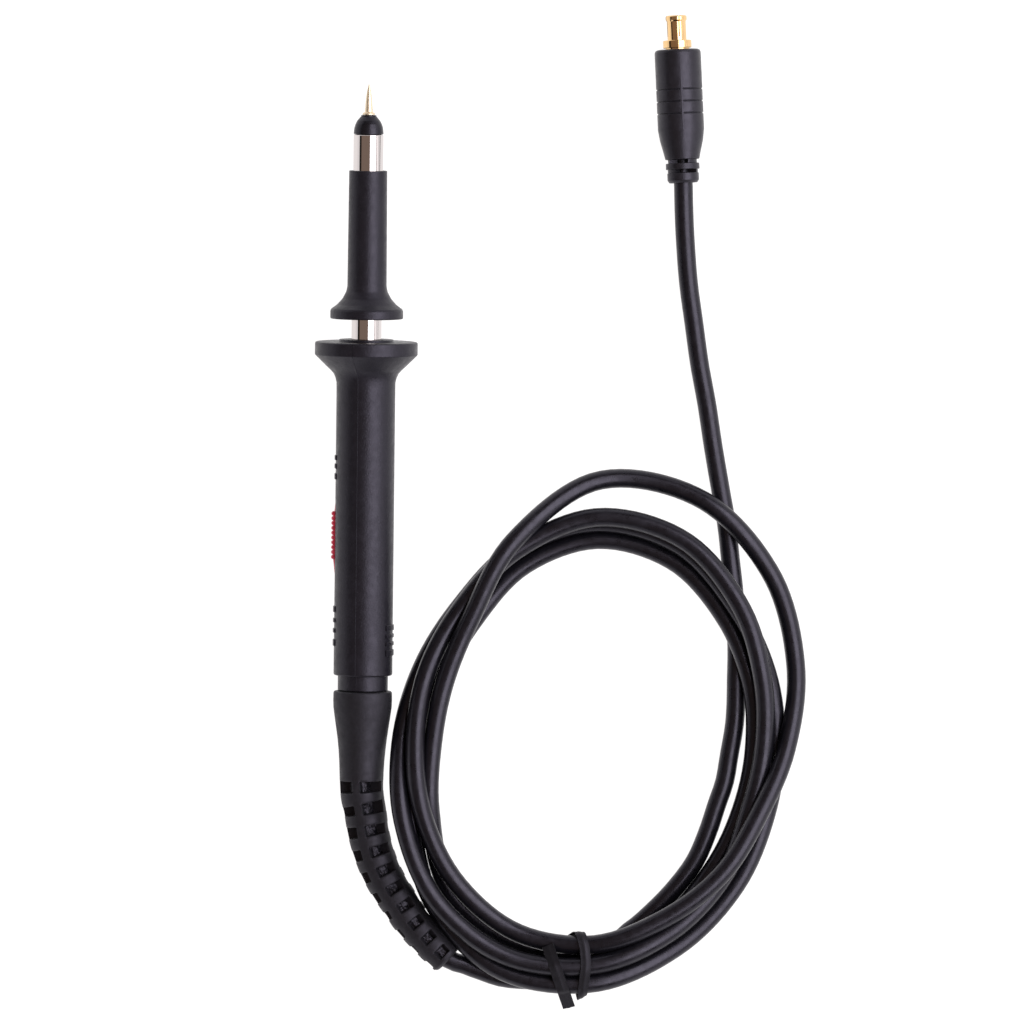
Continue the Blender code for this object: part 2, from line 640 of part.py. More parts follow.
def plug_axis():
    """An empty at the plug's mouth with +Z out of the mouth."""
    foot, mouth = Vector((*PLUG_FOOT, PLUG_HEIGHT)), Vector((*PLUG_MOUTH, PLUG_HEIGHT))
    turn = (mouth - foot).to_track_quat("Z", "Y").to_matrix().to_4x4()
    return add_empty("plug_axis", Matrix.Translation(mouth * MM) @ turn)


def plug_pieces():
    axis = plug_axis()

    def turned_back(name, look, profile, sides=SMALL_ROUND, ring=True):
        return turned(name, look, profile, sides, axis, lambda reach: -reach, ring)

    body = PLUG_BODY_RADIUS
    overmould = [(2.6, PLUG_BODY_REACH)] + arc((body - 0.8, PLUG_BODY_REACH + 0.8), 0.8, -90, 0, 5)
    deep = PLUG_GROOVE_DEPTH
    for groove in PLUG_GROOVES:
        overmould += [(body, groove - deep), (body - deep, groove), (body, groove + deep)]
    overmould += [(body, 18.7), (3.58, 20.65), (3.06, 22.8), (2.75, 23.8), (2.1, 23.85), (2.1, 24.5)]
    overmould += [(2.75, 24.55), (2.75, 25.5), (2.1, 25.55), (2.1, 26.1), (2.6, 26.15), (2.6, 27.4)]
    overmould += [(2.3, 27.75), (0, 27.75), (0, 13.3), (2.55, 13.3)]
    turned_back("plug_overmould", BLACK_RUBBER, overmould, 32)
    ferrule = [(2.4, 8.0), (2.4, 13.0), (2.1, 13.0), (2.1, 8.0)]
    turned_back("plug_ferrule", TIN, ferrule)
    collar = [(2.3, 4.1), (2.42, 4.22), (2.42, 5.3), (2.35, 5.4), (2.0, 5.4), (2.0, 11.0)]
    collar += [(1.6, 11.0), (1.6, 4.1)]
    turned_back("plug_collar", GOLD, collar)
    contact = [(1.6, 0.0), (1.765, 0.2), (1.765, 0.5), (1.5, 0.8), (1.5, 9.0), (1.2, 9.0), (1.2, 0.0)]
    turned_back("plug_outer_contact", GOLD, contact)
    insulator = [(1.05, 1.6), (1.05, 10.0), (0.35, 10.0), (0.35, 1.6)]
    turned_back("plug_insulator", WHITE_PLASTIC, insulator)
    pin = [(0, 0.7), (0.12, 0.75), (0.25, 1.0), (0.25, 10.5), (0, 10.5)]
    turned_back("plug_centre_pin", GOLD, pin, 12, ring=False)


clear_scene()
PROBE = collection("oscilloscope_probe")
CUTTERS = collection("cutters", hidden=True)
probe_empty = probe_axis()
inside_empty = inside_axis(probe_empty)
tip_pieces(probe_empty)
barrel_sleeve(probe_empty)
handle_shells(probe_empty, inside_empty)
board_pieces(inside_empty)
switch_pieces(inside_empty)
trimmer_pieces(inside_empty)
strain_relief(boot_route(probe_empty, BOOT_BACK))
cord_pieces(boot_route(probe_empty, CAVITY_END))
twist_tie()
plug_pieces()
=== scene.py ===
import json
import math

import bmesh
import bpy
import numpy as np
from mathutils import Matrix, Vector, geometry, noise


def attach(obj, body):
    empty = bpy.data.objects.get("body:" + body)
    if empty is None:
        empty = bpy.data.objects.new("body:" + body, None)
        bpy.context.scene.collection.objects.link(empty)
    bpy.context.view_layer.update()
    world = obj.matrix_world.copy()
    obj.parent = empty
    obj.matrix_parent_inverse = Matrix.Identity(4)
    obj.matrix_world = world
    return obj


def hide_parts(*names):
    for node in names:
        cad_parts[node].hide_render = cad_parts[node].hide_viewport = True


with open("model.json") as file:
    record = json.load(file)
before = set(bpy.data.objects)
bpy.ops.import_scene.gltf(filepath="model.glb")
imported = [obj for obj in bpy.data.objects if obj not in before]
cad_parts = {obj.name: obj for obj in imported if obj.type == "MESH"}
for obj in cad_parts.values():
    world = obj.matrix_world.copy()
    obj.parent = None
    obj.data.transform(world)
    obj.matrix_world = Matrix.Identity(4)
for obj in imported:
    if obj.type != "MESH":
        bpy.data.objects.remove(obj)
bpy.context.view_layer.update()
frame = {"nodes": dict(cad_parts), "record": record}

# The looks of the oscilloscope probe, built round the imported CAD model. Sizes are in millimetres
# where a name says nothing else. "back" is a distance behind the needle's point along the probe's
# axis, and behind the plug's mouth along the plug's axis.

MM = 0.001
ROUND = 96
SMALL_ROUND = 64
WHOLE_TURN = 2 * math.pi
FULL_TURNS = (-WHOLE_TURN, 0, WHOLE_TURN)
HALF_TURNS = [step * math.pi for step in (-2, -1, 0, 1, 2)]

# The probe.
MOULD_LINE = math.radians(15)  # turned this far from the top, towards -X
TRIMMER_BACK = 57.0
TRIMMER_HOLE_RADIUS = 1.2
TRIMMER_HOLE_OUT = 6  # the middle of its cut
TRIMMER_HOLE_DEPTH = 6
BARREL_RADIUS = 2.5
HANDLE_RADIUS = 4.865
HANDLE_END = 97.85
NECK_END = 100.3
SPIGOT_END = 106.0
SEAM = 0.012  # half the gap between the handle's shells
WINDOW = (68.8, 84.0, 3.3)  # the switch window's front and end, and its width
WINDOW_CUT = (1.0, 9.0)  # how far out from the probe's axis its cut starts and ends
KNOB = (69.0, 81.4)
KNOB_FOOT = 2.4
KNOB_PLATE = ((1.5, -1.9, -84.4), (2.7, 1.9, -66.2))
GRIP = (70.7, 78.7)
GRIP_RIBS = 10
GRIP_HEIGHT = 5.5
GRIP_GROOVE = 0.26
RIB_START, RIB_SHARE = 0.04, 0.92  # shares of the pitch
RIB_STEPS = 6
RIB_FULLNESS = 0.6
MARK_HEIGHT = 0.2
MARK_DEPTH = 0.165  # how far it goes on inside the handle's surface
MARKS = [  # front and end, and in degrees from the top towards +X the middle and half the width
    (61.4, 62.2, -92, 16),
    (62.8, 63.6, -92, 16),
    (64.4, 65.4, -92, 16),
    (86.4, 87.4, -92, 18),
    (88.4, 89.1, -92, 18),
    (90.1, 90.8, -92, 18),
    (91.9, 93.0, -92, 18),
    (89.4, 90.3, 74, 24),
    (90.9, 91.5, 74, 24),
    (92.2, 92.8, 74, 24),
    (93.5, 94.5, 74, 24),
]

# The strain relief.
BOOT_BACK = 100.45
BOOT_ROWS = 10
BOOT_FIRST_ROW = 116.3
BOOT_FIRST_PITCH = 3.7
BOOT_PITCH_LOSS = 0.054
BOOT_OPEN_SHARE = 0.55
BOOT_SPINE = (math.radians(18), math.radians(42))  # a spine's width at the first and the last row
BOOT_TWIST = math.radians(26)  # towards -X, from the first row to the last
BOOT_CORE_RADIUS = 1.68
BOOT_CORE_ROUGHNESS = ((0.2, 1.7), (0.16, 4.0))  # height, and how often it comes
BOOT_CORE_AROUND, BOOT_CORE_ALONG = 2.2, 1.6
BOOT_CORE_SHADE_REACH = 0.35  # faces less than this outside the core's radius get the core's look, whose darker colour is painted shade in the windows
BOOT_END_RADIUS = 2.93
BOOT_WAIST = 0.06  # how much thinner it is at a row of windows
BOOT_WAIST_START = 0.3  # the share of that at the first row
BOOT_BAND_EDGES = (0.05, 0.35)  # stations on the band between two rows
BOOT_FLOOR_SHARE = 0.6  # the share of a window's length with stations of its own
SPINE_STEPS = 6
WINDOW_STEPS = 14
BOOT_BORE_RADIUS = 1.3
BOOT_BORE_START = 6.2
BOOT_SOCKET_RADIUS = 3.4  # the wide end that takes the handle's spigot
BOOT_SOCKET_DEPTH = 6.1
BOOT_ROWS_START = 15.9  # the first row's middle in the bore
BOOT_NO_ROWS = 18.2  # the length without rows
BOOT_STEP = 0.5
BOOT_ROUTE = [
    (0.0, -63.4, 4.10),
    (0.6, -67.0, 3.92),
    (1.2, -70.7, 3.73),
    (2.1, -74.0, 3.56),
    (3.35, -77.15, 3.42),
    (5.0, -80.1, 3.3),
    (6.7, -82.6, 3.2),
    (8.27, -85.0, 3.12),
    (10.22, -87.23, 3.05),
    (12.2, -89.3, 3.0),
    (14.75, -91.68, 2.98),
]

# The lead: straight stretches point by point, with the coil's turns between them.
CORD_RADIUS = 1.57
CORD_EXIT_BACK = 98.0
STRAIGHT_END = 108.0  # the end of its straight run inside the strain relief
ROUTE_STEP = 1.6
TABLE = 1.6  # height of the cord's middle where it lies on the table
CORD_START_ROUTE = [
    (17.2, -92.45, 1.95),
    (19.85, -93.4, 1.65),
    (24.3, -94.7, TABLE),
    (31.0, -94.8, TABLE),
]
COIL_CENTRE = (38.7, -55.8)
COIL_START = math.radians(-90)  # the foot of the coil, where the tie holds it
# Each turn's distance from the coil's centre, at 16 even stations anticlockwise from the foot.
TURNS = [
    [37.6, 31.8, 28.2, 26.4, 26.3, 27.7, 30.0, 33.0, 34.0, 32.0, 28.9, 28.0, 28.9, 32.8, 37.6, 40.5],
    [39.4, 36.1, 33.0, 30.6, 29.9, 30.7, 32.5, 35.8, 36.8, 35.0, 32.1, 31.5, 32.3, 34.3, 36.9, 37.95],
    [36.4, 33.3, 30.3, 27.7, 27.8, 29.7, 33.2, 36.9, 37.7, 34.9, 31.8, 30.5, 29.9, 30.8, 32.4, 33.7],
    [33.0, 30.8, 29.8, 29.3, 31.6, 35.7, 40.6, 44.3, 43.8, 36.4, 29.5, 27.1, 27.0, 29.5, 34.15, 35.35],
]
START_RANK = 0.4  # a stretch lies over those of a lower rank
INSIDE_RANK = 0.0
TURN_RANKS = (0.5, 1, 2, 3)
TUCKED_RANKS = {12: 1.5, 13: 0.3, 14: 0.3, 15: 0.3}  # the last turn's end goes under the third turn
INSIDE_RUN = [  # from the coil's foot up inside the coil, under its top, and on to the plug
    (39.0, -90.2, TABLE),
    (44.7, -86.6, TABLE),
    (47.9, -83.9, TABLE),
    (51.85, -79.8, TABLE),
    (55.3, -75.1, TABLE),
    (57.4, -70.2, TABLE),
    (58.9, -65.5, TABLE),
    (60.15, -61.7, TABLE),
    (60.85, -57.4, TABLE),
    (61.75, -51.4, TABLE),
    (61.9, -44.0, TABLE),
    (61.9, -39.0, TABLE),
    (61.4, -30.7, TABLE),
    (60.7, -24.9, TABLE),
    (60.0, -19.1, TABLE),
    (58.85, -12.9, TABLE),
    (57.6, -6.0, TABLE),
    (56.5, 0.8, TABLE),
    (55.2, 7.5, TABLE),
    (54.2, 14.2, 1.7),
    (53.2, 21.0, 2.2),
    (52.6, 27.8, 3.0),
    (52.3, 33.0, 3.65),
    (52.16, 37.3, 3.86),
    (52.1, 38.3, 3.86),
]
SETTLE_ROUNDS = 8
SETTLE_STEPS = 60
SAG = 0.002  # how far a step may sag below the straight line between its neighbours
EASE_STEPS = 6
NEAR_STEPS = 12  # steps along the route that are too near to a point to lie over it

# The tie.
FOOT_Y = -84  # the coil's foot is on this line's near side
TIE_REACH = 5  # how far along the coil its lift reaches
TIE_X = 36.4
TIE_LIFT = 0.6  # the tie under the coil's foot
TIE_GAP = 0.3
TIE_UNDER = ((-98.0, -87.0), (33.9, 34.3))  # y, and the ring's x there, under the coil and over it
TIE_OVER = ((-97.3, -92.0, -89.0, -86.5), (36.9, 37.5, 37.2, 36.3))
NEAR_BULGE, FAR_BULGE = 0.4, 0.35  # how far the strip bulges from the strands on each side
TIE_END_X = 35.9
TIE_HALF_WIDTH = 0.85
TIE_LEG = ((31.1, -89.0), (34.75, -99.3))
LEG_HALF_WIDTH = 1.03
LEG_POINTS = 60
LEG_FREE = 45  # from this point on the leg stands clear of the lead, and goes on straight
LEG_TWIST = 48  # under this point the strip is twisted, and goes back under the coil
LEG_FALL, LEG_LEAN = 6, 15  # how many points before LEG_FREE give its fall, and its lean
TIE_STEP = 0.22
LEAD_STEP = 0.25  # how finely the tie feels the lead
STRAND_SIDES = 32
TIE_FACING = 0.4  # a side whose outward direction has more than this of an axis faces along it
RING_POINTS = 90
RING_OPEN = 0.3  # how much of the ring's outline is left out at its end
RING_ROUNDS = 5  # of smoothing
RING_TWIST = 0.6

# The plug.
MATING_BACK = 4.1  # the mating face
MATING_RADIUS = 1.95  # how far the mating face's point is above the plug's axis
PLUG_RADIUS = 3.835
PLUG_MOULD_LINE = math.pi / 2 + math.radians(4)
PLUG_GROOVES = (12.25, 14.25, 16.25)
GROOVE_HALF = 0.16
GROOVE_DEPTH = 0.17
GROOVED = (11, 19)  # the stretch with the grooves
GROOVED_RADIUS = 3  # the bore is inside this
GROOVE_GAP = math.radians(4)  # they stop this far from the mould line
GROOVE_ENDS = (-4.5, -3.5, 3.5, 4.5)
NECK_SLOTS = (  # each slot's middle, and half its width
    (math.radians(70), math.radians(42)),
    (math.radians(105), math.radians(46)),
)
NECK_REACHES = (24.2, 25.8)
NECK_BRIDGES = (2.4, 2.5)
NECK_HALF = 0.32  # half a slot's length along the plug
NECK_RADII = (1.9, 2.2)  # the profile's slots are between these
NECK_CORE = 0.95
PLUG_SLIT = ((-2.2, -0.1, -3.5), (2.2, 0.1, 0.5))
PLUG_SLITS = (105, 195)  # where it is cut in the outer contact, in degrees

# The camera's place over the table, in metres, and its turn about the vertical.
VIEW_CENTRE = (0.02438, -0.01739)
VIEW_HEIGHT = 2.0
VIEW_WIDTH = 0.1696
VIEW_ROLL = math.radians(0.65)
PROBE_LEVEL = 0.0045
SENSOR_MM = 36.0


# Shapes.

SHARP = 35  # degrees between faces from which their edge stays sharp
FILLET_SHARE = 0.49  # a fillet takes up at most this share of each side
FILLET_STEPS = 5
SPAN_STEPS = 12  # steps between two points of a route


def mesh_of(name, bm):
    mesh = bpy.data.meshes.new(name)
    bm.to_mesh(mesh)
    bm.free()
    return mesh


def add(name, mesh, look, sharp=SHARP):
    obj = bpy.data.objects.new(name, mesh)
    bpy.context.scene.collection.objects.link(obj)
    mesh.materials.append(look)
    mesh.shade_smooth()
    mesh.set_sharp_from_angle(angle=math.radians(sharp))
    return obj


def skin(name, sections, look, matrix=None, loop=True, around=False, sharp=SHARP):
    """Faces between rows of points in mm. loop closes each row, and around joins the last row to
    the first. Rows that are loops and don't go around are capped."""
    bm = bmesh.new()
    rows = [[bm.verts.new(Vector(point) * MM) for point in section] for section in sections]
    pairs = list(zip(rows, rows[1:]))
    if around:
        pairs.append((rows[-1], rows[0]))
    elif loop:
        bm.faces.new(rows[0])
        bm.faces.new(rows[-1])
    for first, second in pairs:
        for i in range(len(first) - (not loop)):
            j = (i + 1) % len(first)
            bm.faces.new((first[i], first[j], second[j], second[i]))
    bmesh.ops.remove_doubles(bm, verts=bm.verts, dist=1e-8)
    bmesh.ops.recalc_face_normals(bm, faces=bm.faces)
    if bm.calc_volume(signed=True) < 0:
        bmesh.ops.reverse_faces(bm, faces=bm.faces)
    if matrix is not None:
        bm.transform(matrix)
    return add(name, mesh_of(name, bm), look, sharp)


def rounded(profile, closed):
    """The profile's points, with each (radius, back, fillet) corner turned into an arc."""
    count = len(profile)
    points = []
    for i, corner in enumerate(profile):
        here = Vector(corner[:2])
        fillet = corner[2] if len(corner) > 2 else 0
        if not fillet or (not closed and i in (0, count - 1)):
            points.append(tuple(here))
            continue
        before = Vector(profile[i - 1][:2]) - here
        after = Vector(profile[(i + 1) % count][:2]) - here
        half = before.angle(after) / 2
        longest = FILLET_SHARE * min(before.length, after.length)
        run = min(fillet / math.tan(half), longest)
        first, last = here + before.normalized() * run, here + after.normalized() * run
        for step in range(FILLET_STEPS + 1):
            t = step / FILLET_STEPS
            points.append(tuple(first * (1 - t) ** 2 + here * 2 * t * (1 - t) + last * t**2))
    return points


def turned(
    name, profile, look, matrix, closed=True, sides=ROUND, start=0.0, sweep=WHOLE_TURN, reshape=None
):
    """A turned piece. profile is (radius, back) or (radius, back, fillet). Closed, it goes on round
    the bore. reshape is (angles that need an edge of their own, a function of angle, radius and back
    that gives the radius)."""
    points = rounded(profile, closed)
    whole = abs(sweep - WHOLE_TURN) < 1e-6
    angles = [start + sweep * i / sides for i in range(sides + (not whole))]
    extra, radius_at = reshape or ((), lambda angle, radius, back: radius)
    angles = sorted({*angles, *(angle for angle in extra if start <= angle <= start + sweep)})
    sections = []
    for angle in angles:
        cosine, sine = math.cos(angle), math.sin(angle)
        radii = [(radius_at(angle, radius, back), back) for radius, back in points]
        sections.append([(radius * cosine, radius * sine, -back) for radius, back in radii])
    return skin(name, sections, look, matrix, loop=closed, around=whole)


def turn_from(angle, line):
    """How far an angle is from a line's, whichever way round is shorter."""
    return abs((angle - line + math.pi) % (2 * math.pi) - math.pi)


def mould_line(lines, width, height, from_radius, after=0.0):
    """A turned piece's reshape: thin raised lines where its mould parted."""
    steps = (-1, -0.5, 0, 0.5, 1)
    angles = [line + width * step + turn for line in lines for step in steps for turn in FULL_TURNS]

    def radius_at(angle, radius, back):
        near = max(1 - turn_from(angle, line) / width for line in lines)
        return radius + (height * max(0, near) if radius > from_radius and back > after else 0)

    return angles, radius_at


def block(name, low, high, look, matrix, bevel):
    low, high = Vector(low) * MM, Vector(high) * MM
    bm = bmesh.new()
    place = Matrix.Translation((low + high) / 2) @ Matrix.Diagonal((*(high - low), 1))
    bmesh.ops.create_cube(bm, size=1, matrix=place)
    bm.transform(matrix)
    obj = add(name, mesh_of(name, bm), look)
    edge = obj.modifiers.new("Edges", "BEVEL")
    edge.width = bevel * MM
    edge.segments = 3
    return obj


def baked(obj):
    """The object's mesh with its modifiers applied."""
    graph = bpy.context.evaluated_depsgraph_get()
    mesh = bpy.data.meshes.new_from_object(obj.evaluated_get(graph))
    obj.modifiers.clear()
    obj.data = mesh
    return obj


def cut(obj, cutter, operation="DIFFERENCE"):
    """Cuts obj by cutter, or joins them, and removes the cutter."""
    step = obj.modifiers.new("Cut", "BOOLEAN")
    step.operation = operation
    step.object = cutter
    baked(obj)
    bpy.data.objects.remove(cutter)
    obj.data.shade_smooth()
    obj.data.set_sharp_from_angle(angle=math.radians(SHARP))


def distances(points):
    """How far along a line of points each of them is."""
    return np.concatenate([[0], np.cumsum(np.linalg.norm(np.diff(points, axis=0), axis=1))])


def smooth_route(points, spacing):
    """Points this far apart along a smooth curve (Catmull-Rom) through the route's own points."""
    known = np.array(points, float)
    padded = np.vstack([2 * known[0] - known[1], known, 2 * known[-1] - known[-2]])
    steps = np.linspace(0, 1, SPAN_STEPS, endpoint=False)[:, None]
    dense = []
    for a, b, c, d in zip(padded, padded[1:], padded[2:], padded[3:]):
        cubic = 2 * b + (c - a) * steps + (2 * a - 5 * b + 4 * c - d) * steps**2
        dense.append((cubic + (3 * b - a - 3 * c + d) * steps**3) / 2)
    dense = np.vstack([*dense, known[-1:]])
    along = distances(dense[:, :3])
    stations = np.linspace(0, along[-1], max(2, round(along[-1] / spacing) + 1))
    return np.stack([np.interp(stations, along, column) for column in dense.T], axis=1)


def frames(route):
    """(point, across, up) along a route: up is the normal nearest to +Z, and across is to its
    right."""
    for point, tangent in zip(route, np.gradient(route, axis=0)):
        along = Vector(tangent).normalized()
        up = (Vector((0, 0, 1)) - along * along.z).normalized()
        yield Vector(point), up.cross(along), up


# Materials.

MIX_FACTOR, MIX_A, MIX_B, MIX_RESULT = 0, 6, 7, 2  # a colour mix's sockets
CLOUD_MM = 4.0
GLOSS_MM = 1.2
COAT_ROUGHNESS = 0.12
FILM_COLOUR = (0.33, 0.32, 0.34, 1)
FILM_DETAIL = 6.0
DUST_RANGE = (0.5, 0.3, 0.7)  # its size, and the noise's values where it starts and is thickest
SPECK_RANGE = (0.22, 0.6, 0.68)


def material(
    name,
    colour,
    roughness,
    metallic=0.0,
    mottle=0.15,
    grain=0.0,
    grain_mm=0.15,
    waves=0.0,
    waves_mm=2.0,
    rough_spread=0.08,
    stretch=(1, 1, 1),
    coat=0.0,
    specular=0.5,
    dust=0.0,
    specks=0.0,
    tint=(1.0, 1.0, 1.0),
):
    """A moulded or plated surface. mottle varies its colour, rough_spread its gloss; grain is the
    fine texture of the mould and waves the slow unevenness, both as bump heights in mm; dust is a
    pale film in patches, and specks are small bright spots."""
    made = bpy.data.materials.new(name)
    made.use_nodes = True
    nodes, links = made.node_tree.nodes, made.node_tree.links
    shader = nodes["Principled BSDF"]
    shader.inputs["Metallic"].default_value = metallic
    shader.inputs["Specular IOR Level"].default_value = specular
    shader.inputs["Specular Tint"].default_value = (*tint, 1)
    shader.inputs["Coat Weight"].default_value = coat
    shader.inputs["Coat Roughness"].default_value = COAT_ROUGHNESS
    place = nodes.new("ShaderNodeTexCoord")
    mapping = nodes.new("ShaderNodeMapping")
    mapping.inputs["Scale"].default_value = stretch
    links.new(place.outputs["Object"], mapping.inputs["Vector"])

    def noise_at(size_mm, detail=3.0):
        made_noise = nodes.new("ShaderNodeTexNoise")
        made_noise.inputs["Scale"].default_value = 1 / (size_mm * MM)
        made_noise.inputs["Detail"].default_value = detail
        links.new(mapping.outputs["Vector"], made_noise.inputs["Vector"])
        return made_noise.outputs["Fac"]

    def spread_of(source, low, high, start=0.3, end=0.7):
        ranged = nodes.new("ShaderNodeMapRange")
        ranged.inputs["From Min"].default_value = start
        ranged.inputs["From Max"].default_value = end
        ranged.inputs["To Min"].default_value = low
        ranged.inputs["To Max"].default_value = high
        links.new(source, ranged.inputs["Value"])
        return ranged.outputs["Result"]

    cloudy = noise_at(CLOUD_MM)
    base = nodes.new("ShaderNodeMix")
    base.data_type = "RGBA"
    base.inputs[MIX_A].default_value = (*[part * (1 - mottle) for part in colour], 1)
    base.inputs[MIX_B].default_value = (*[part * (1 + mottle) for part in colour], 1)
    links.new(spread_of(cloudy, 0, 1), base.inputs[MIX_FACTOR])
    colour_out = base.outputs[MIX_RESULT]
    for amount, size_mm, start, end in ((dust, *DUST_RANGE), (specks, *SPECK_RANGE)):
        if amount:
            film = nodes.new("ShaderNodeMix")
            film.data_type = "RGBA"
            film.inputs[MIX_B].default_value = FILM_COLOUR
            links.new(colour_out, film.inputs[MIX_A])
            thickness = spread_of(noise_at(size_mm, FILM_DETAIL), 0, amount, start, end)
            links.new(thickness, film.inputs[MIX_FACTOR])
            colour_out = film.outputs[MIX_RESULT]
    links.new(colour_out, shader.inputs["Base Color"])
    low, high = max(0.02, roughness - rough_spread), roughness + rough_spread
    links.new(spread_of(noise_at(GLOSS_MM), low, high), shader.inputs["Roughness"])
    normal = None
    for height, size_mm in ((waves, waves_mm), (grain, grain_mm)):
        if height:
            bump = nodes.new("ShaderNodeBump")
            bump.inputs["Strength"].default_value = 1.0
            bump.inputs["Distance"].default_value = height * MM
            links.new(noise_at(size_mm), bump.inputs["Height"])
            if normal is not None:
                links.new(normal, bump.inputs["Normal"])
            normal = bump.outputs["Normal"]
    if normal is not None:
        links.new(normal, shader.inputs["Normal"])
    return made


VIOLET = (0.86, 0.82, 1.0)
LOOKS = {
    "handle_plastic": material(
        "handle_plastic",
        (0.0085, 0.008, 0.011),
        0.4,
        grain=0.03,
        grain_mm=0.3,
        waves=0.01,
        waves_mm=5.0,
        specular=0.34,
        tint=VIOLET,
        specks=0.03,
    ),
    "nose_plastic": material(
        "nose_plastic",
        (0.006, 0.006, 0.008),
        0.33,
        grain=0.001,
        waves=0.004,
        specular=0.36,
        tint=VIOLET,
    ),
    "nickel_plate": material(
        "nickel_plate",
        (0.66, 0.62, 0.61),
        0.055,
        metallic=1.0,
        mottle=0.03,
        waves=0.001,
        rough_spread=0.02,
        stretch=(1, 0.08, 1),
    ),
    "gold_plate": material(
        "gold_plate",
        (0.84, 0.57, 0.28),
        0.12,
        metallic=1.0,
        mottle=0.06,
        waves=0.002,
        rough_spread=0.05,
    ),
    "needle_plate": material(
        "needle_plate",
        (0.8, 0.68, 0.5),
        0.5,
        metallic=1.0,
        mottle=0.05,
        waves=0.002,
        rough_spread=0.05,
    ),
    "red_plastic": material(
        "red_plastic", (0.72, 0.032, 0.085), 0.3, mottle=0.08, grain=0.003, grain_mm=0.1, coat=0.4
    ),
    "boot_rubber": material(
        "boot_rubber",
        (0.0078, 0.0076, 0.0092),
        0.55,
        grain=0.01,
        grain_mm=0.14,
        waves=0.012,
        dust=0.012,
        specular=0.36,
        tint=VIOLET,
    ),
    # The core's grain and pale specks are its texture; its colour, darker than the boot's rubber, is
    # painted shade deep in the windows.
    "boot_core_texture_and_painted_shade": material(
        "boot_core_texture_and_painted_shade",
        (0.003, 0.003, 0.004),
        0.4,
        grain=0.08,
        grain_mm=0.3,
        specular=0.45,
        specks=0.14,
        tint=VIOLET,
    ),
    "cable_jacket": material(
        "cable_jacket",
        (0.0045, 0.0044, 0.0062),
        0.33,
        grain=0.0025,
        grain_mm=0.25,
        waves=0.012,
        waves_mm=3.0,
        specular=0.42,
        tint=VIOLET,
    ),
    "tie_plastic": material(
        "tie_plastic",
        (0.0062, 0.0062, 0.0072),
        0.5,
        grain=0.003,
        waves=0.01,
        waves_mm=1.5,
        specular=0.32,
        tint=VIOLET,
    ),
    "plug_rubber": material(
        "plug_rubber",
        (0.0075, 0.0072, 0.0095),
        0.37,
        grain=0.014,
        grain_mm=0.16,
        waves=0.01,
        dust=0.008,
        specular=0.42,
        tint=VIOLET,
    ),
    "white_plastic": material("white_plastic", (0.8, 0.79, 0.75), 0.4, mottle=0.03, grain=0.002),
    "resistor_body": material(
        "resistor_body", (0.5, 0.36, 0.2), 0.3, mottle=0.1, grain=0.002, coat=0.4
    ),
    "copper_wire": material(
        "copper_wire", (0.9, 0.5, 0.33), 0.25, metallic=1.0, mottle=0.06, stretch=(1, 0.1, 1)
    ),
    "tin_plate": material(
        "tin_plate",
        (0.66, 0.67, 0.68),
        0.32,
        metallic=1.0,
        mottle=0.05,
        grain=0.001,
        stretch=(1, 0.2, 1),
    ),
    "board_laminate": material(
        "board_laminate", (0.02, 0.14, 0.055), 0.3, mottle=0.12, grain=0.003, coat=0.5
    ),
}


# The probe's axes, from the record.


def probe_axes():
    """(the probe's axes, with +Z ahead, +X across and the origin at the needle's point; the same
    turned so that +X faces out through the switch window)."""
    joints = {joint["name"]: joint for joint in frame["record"]["behaviour"]["joints"]}
    ahead = Vector(joints["attenuation_switch"]["axis"]).normalized()
    outward = Vector(joints["compensation_trimmer"]["axis"]).normalized()
    point = Vector(joints["compensation_trimmer"]["pos_m"]) + ahead * TRIMMER_BACK * MM
    made = []
    for across in (Vector((1, 0, 0)), outward):
        turn = Matrix((across, ahead.cross(across), ahead)).transposed().to_4x4()
        made.append(Matrix.Translation(point) @ turn)
    return made


PROBE, INSIDE = probe_axes()
MOULD_LINES = (math.pi / 2 - MOULD_LINE, 1.5 * math.pi - MOULD_LINE)


def finish_piece(obj, body, slot, *replaced):
    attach(obj, body)
    if replaced:
        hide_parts(*replaced)
    return obj


# The lead.


def coil_points():
    """(x, y, lowest height, rank) of the coil's turns, worked out station by station."""
    stations = len(TURNS[0])
    points = []
    for turn, (radii, rank) in enumerate(zip(TURNS, TURN_RANKS)):
        for i, radius in enumerate(radii):
            angle = COIL_START + 2 * math.pi * i / stations
            own_rank = TUCKED_RANKS.get(i, rank) if turn == len(TURNS) - 1 else rank
            x = COIL_CENTRE[0] + radius * math.cos(angle)
            y = COIL_CENTRE[1] + radius * math.sin(angle)
            points.append((x, y, TABLE, own_rank))
    return points


def settled(route):
    """The route with the heights at which it lies: on the table, or over every stretch of a lower
    rank."""
    thick = 2 * CORD_RADIUS
    gaps = np.linalg.norm(route[:, None, :2] - route[None, :, :2], axis=2)
    apart = np.abs(np.subtract.outer(range(len(route)), range(len(route)))) > NEAR_STEPS
    over = (gaps < thick) & apart & (route[:, None, 3] > route[None, :, 3])
    rise = np.sqrt(np.clip(thick**2 - gaps**2, 0, None))
    near_tie = np.exp(-(((route[:, 0] - TIE_X) / TIE_REACH) ** 2)) * (route[:, 1] < FOOT_Y)
    lowest = route[:, 2] + TIE_LIFT * near_tie
    height = lowest.copy()
    for _ in range(SETTLE_ROUNDS):
        held = np.maximum(lowest, np.where(over, height[None, :] + rise, 0).max(axis=1))
        height = held.copy()
        for _ in range(SETTLE_STEPS):
            height[1:-1] = np.maximum(held[1:-1], (height[:-2] + height[2:]) / 2 - SAG)
    for _ in range(EASE_STEPS):
        height[1:-1] = (height[:-2] + 2 * height[1:-1] + height[2:]) / 4
    return np.column_stack([route[:, :2], height])


def on_axis(*backs):
    """Points on the probe's axis, in mm."""
    return [tuple(PROBE @ Vector((0, 0, -back * MM)) / MM) for back in backs]


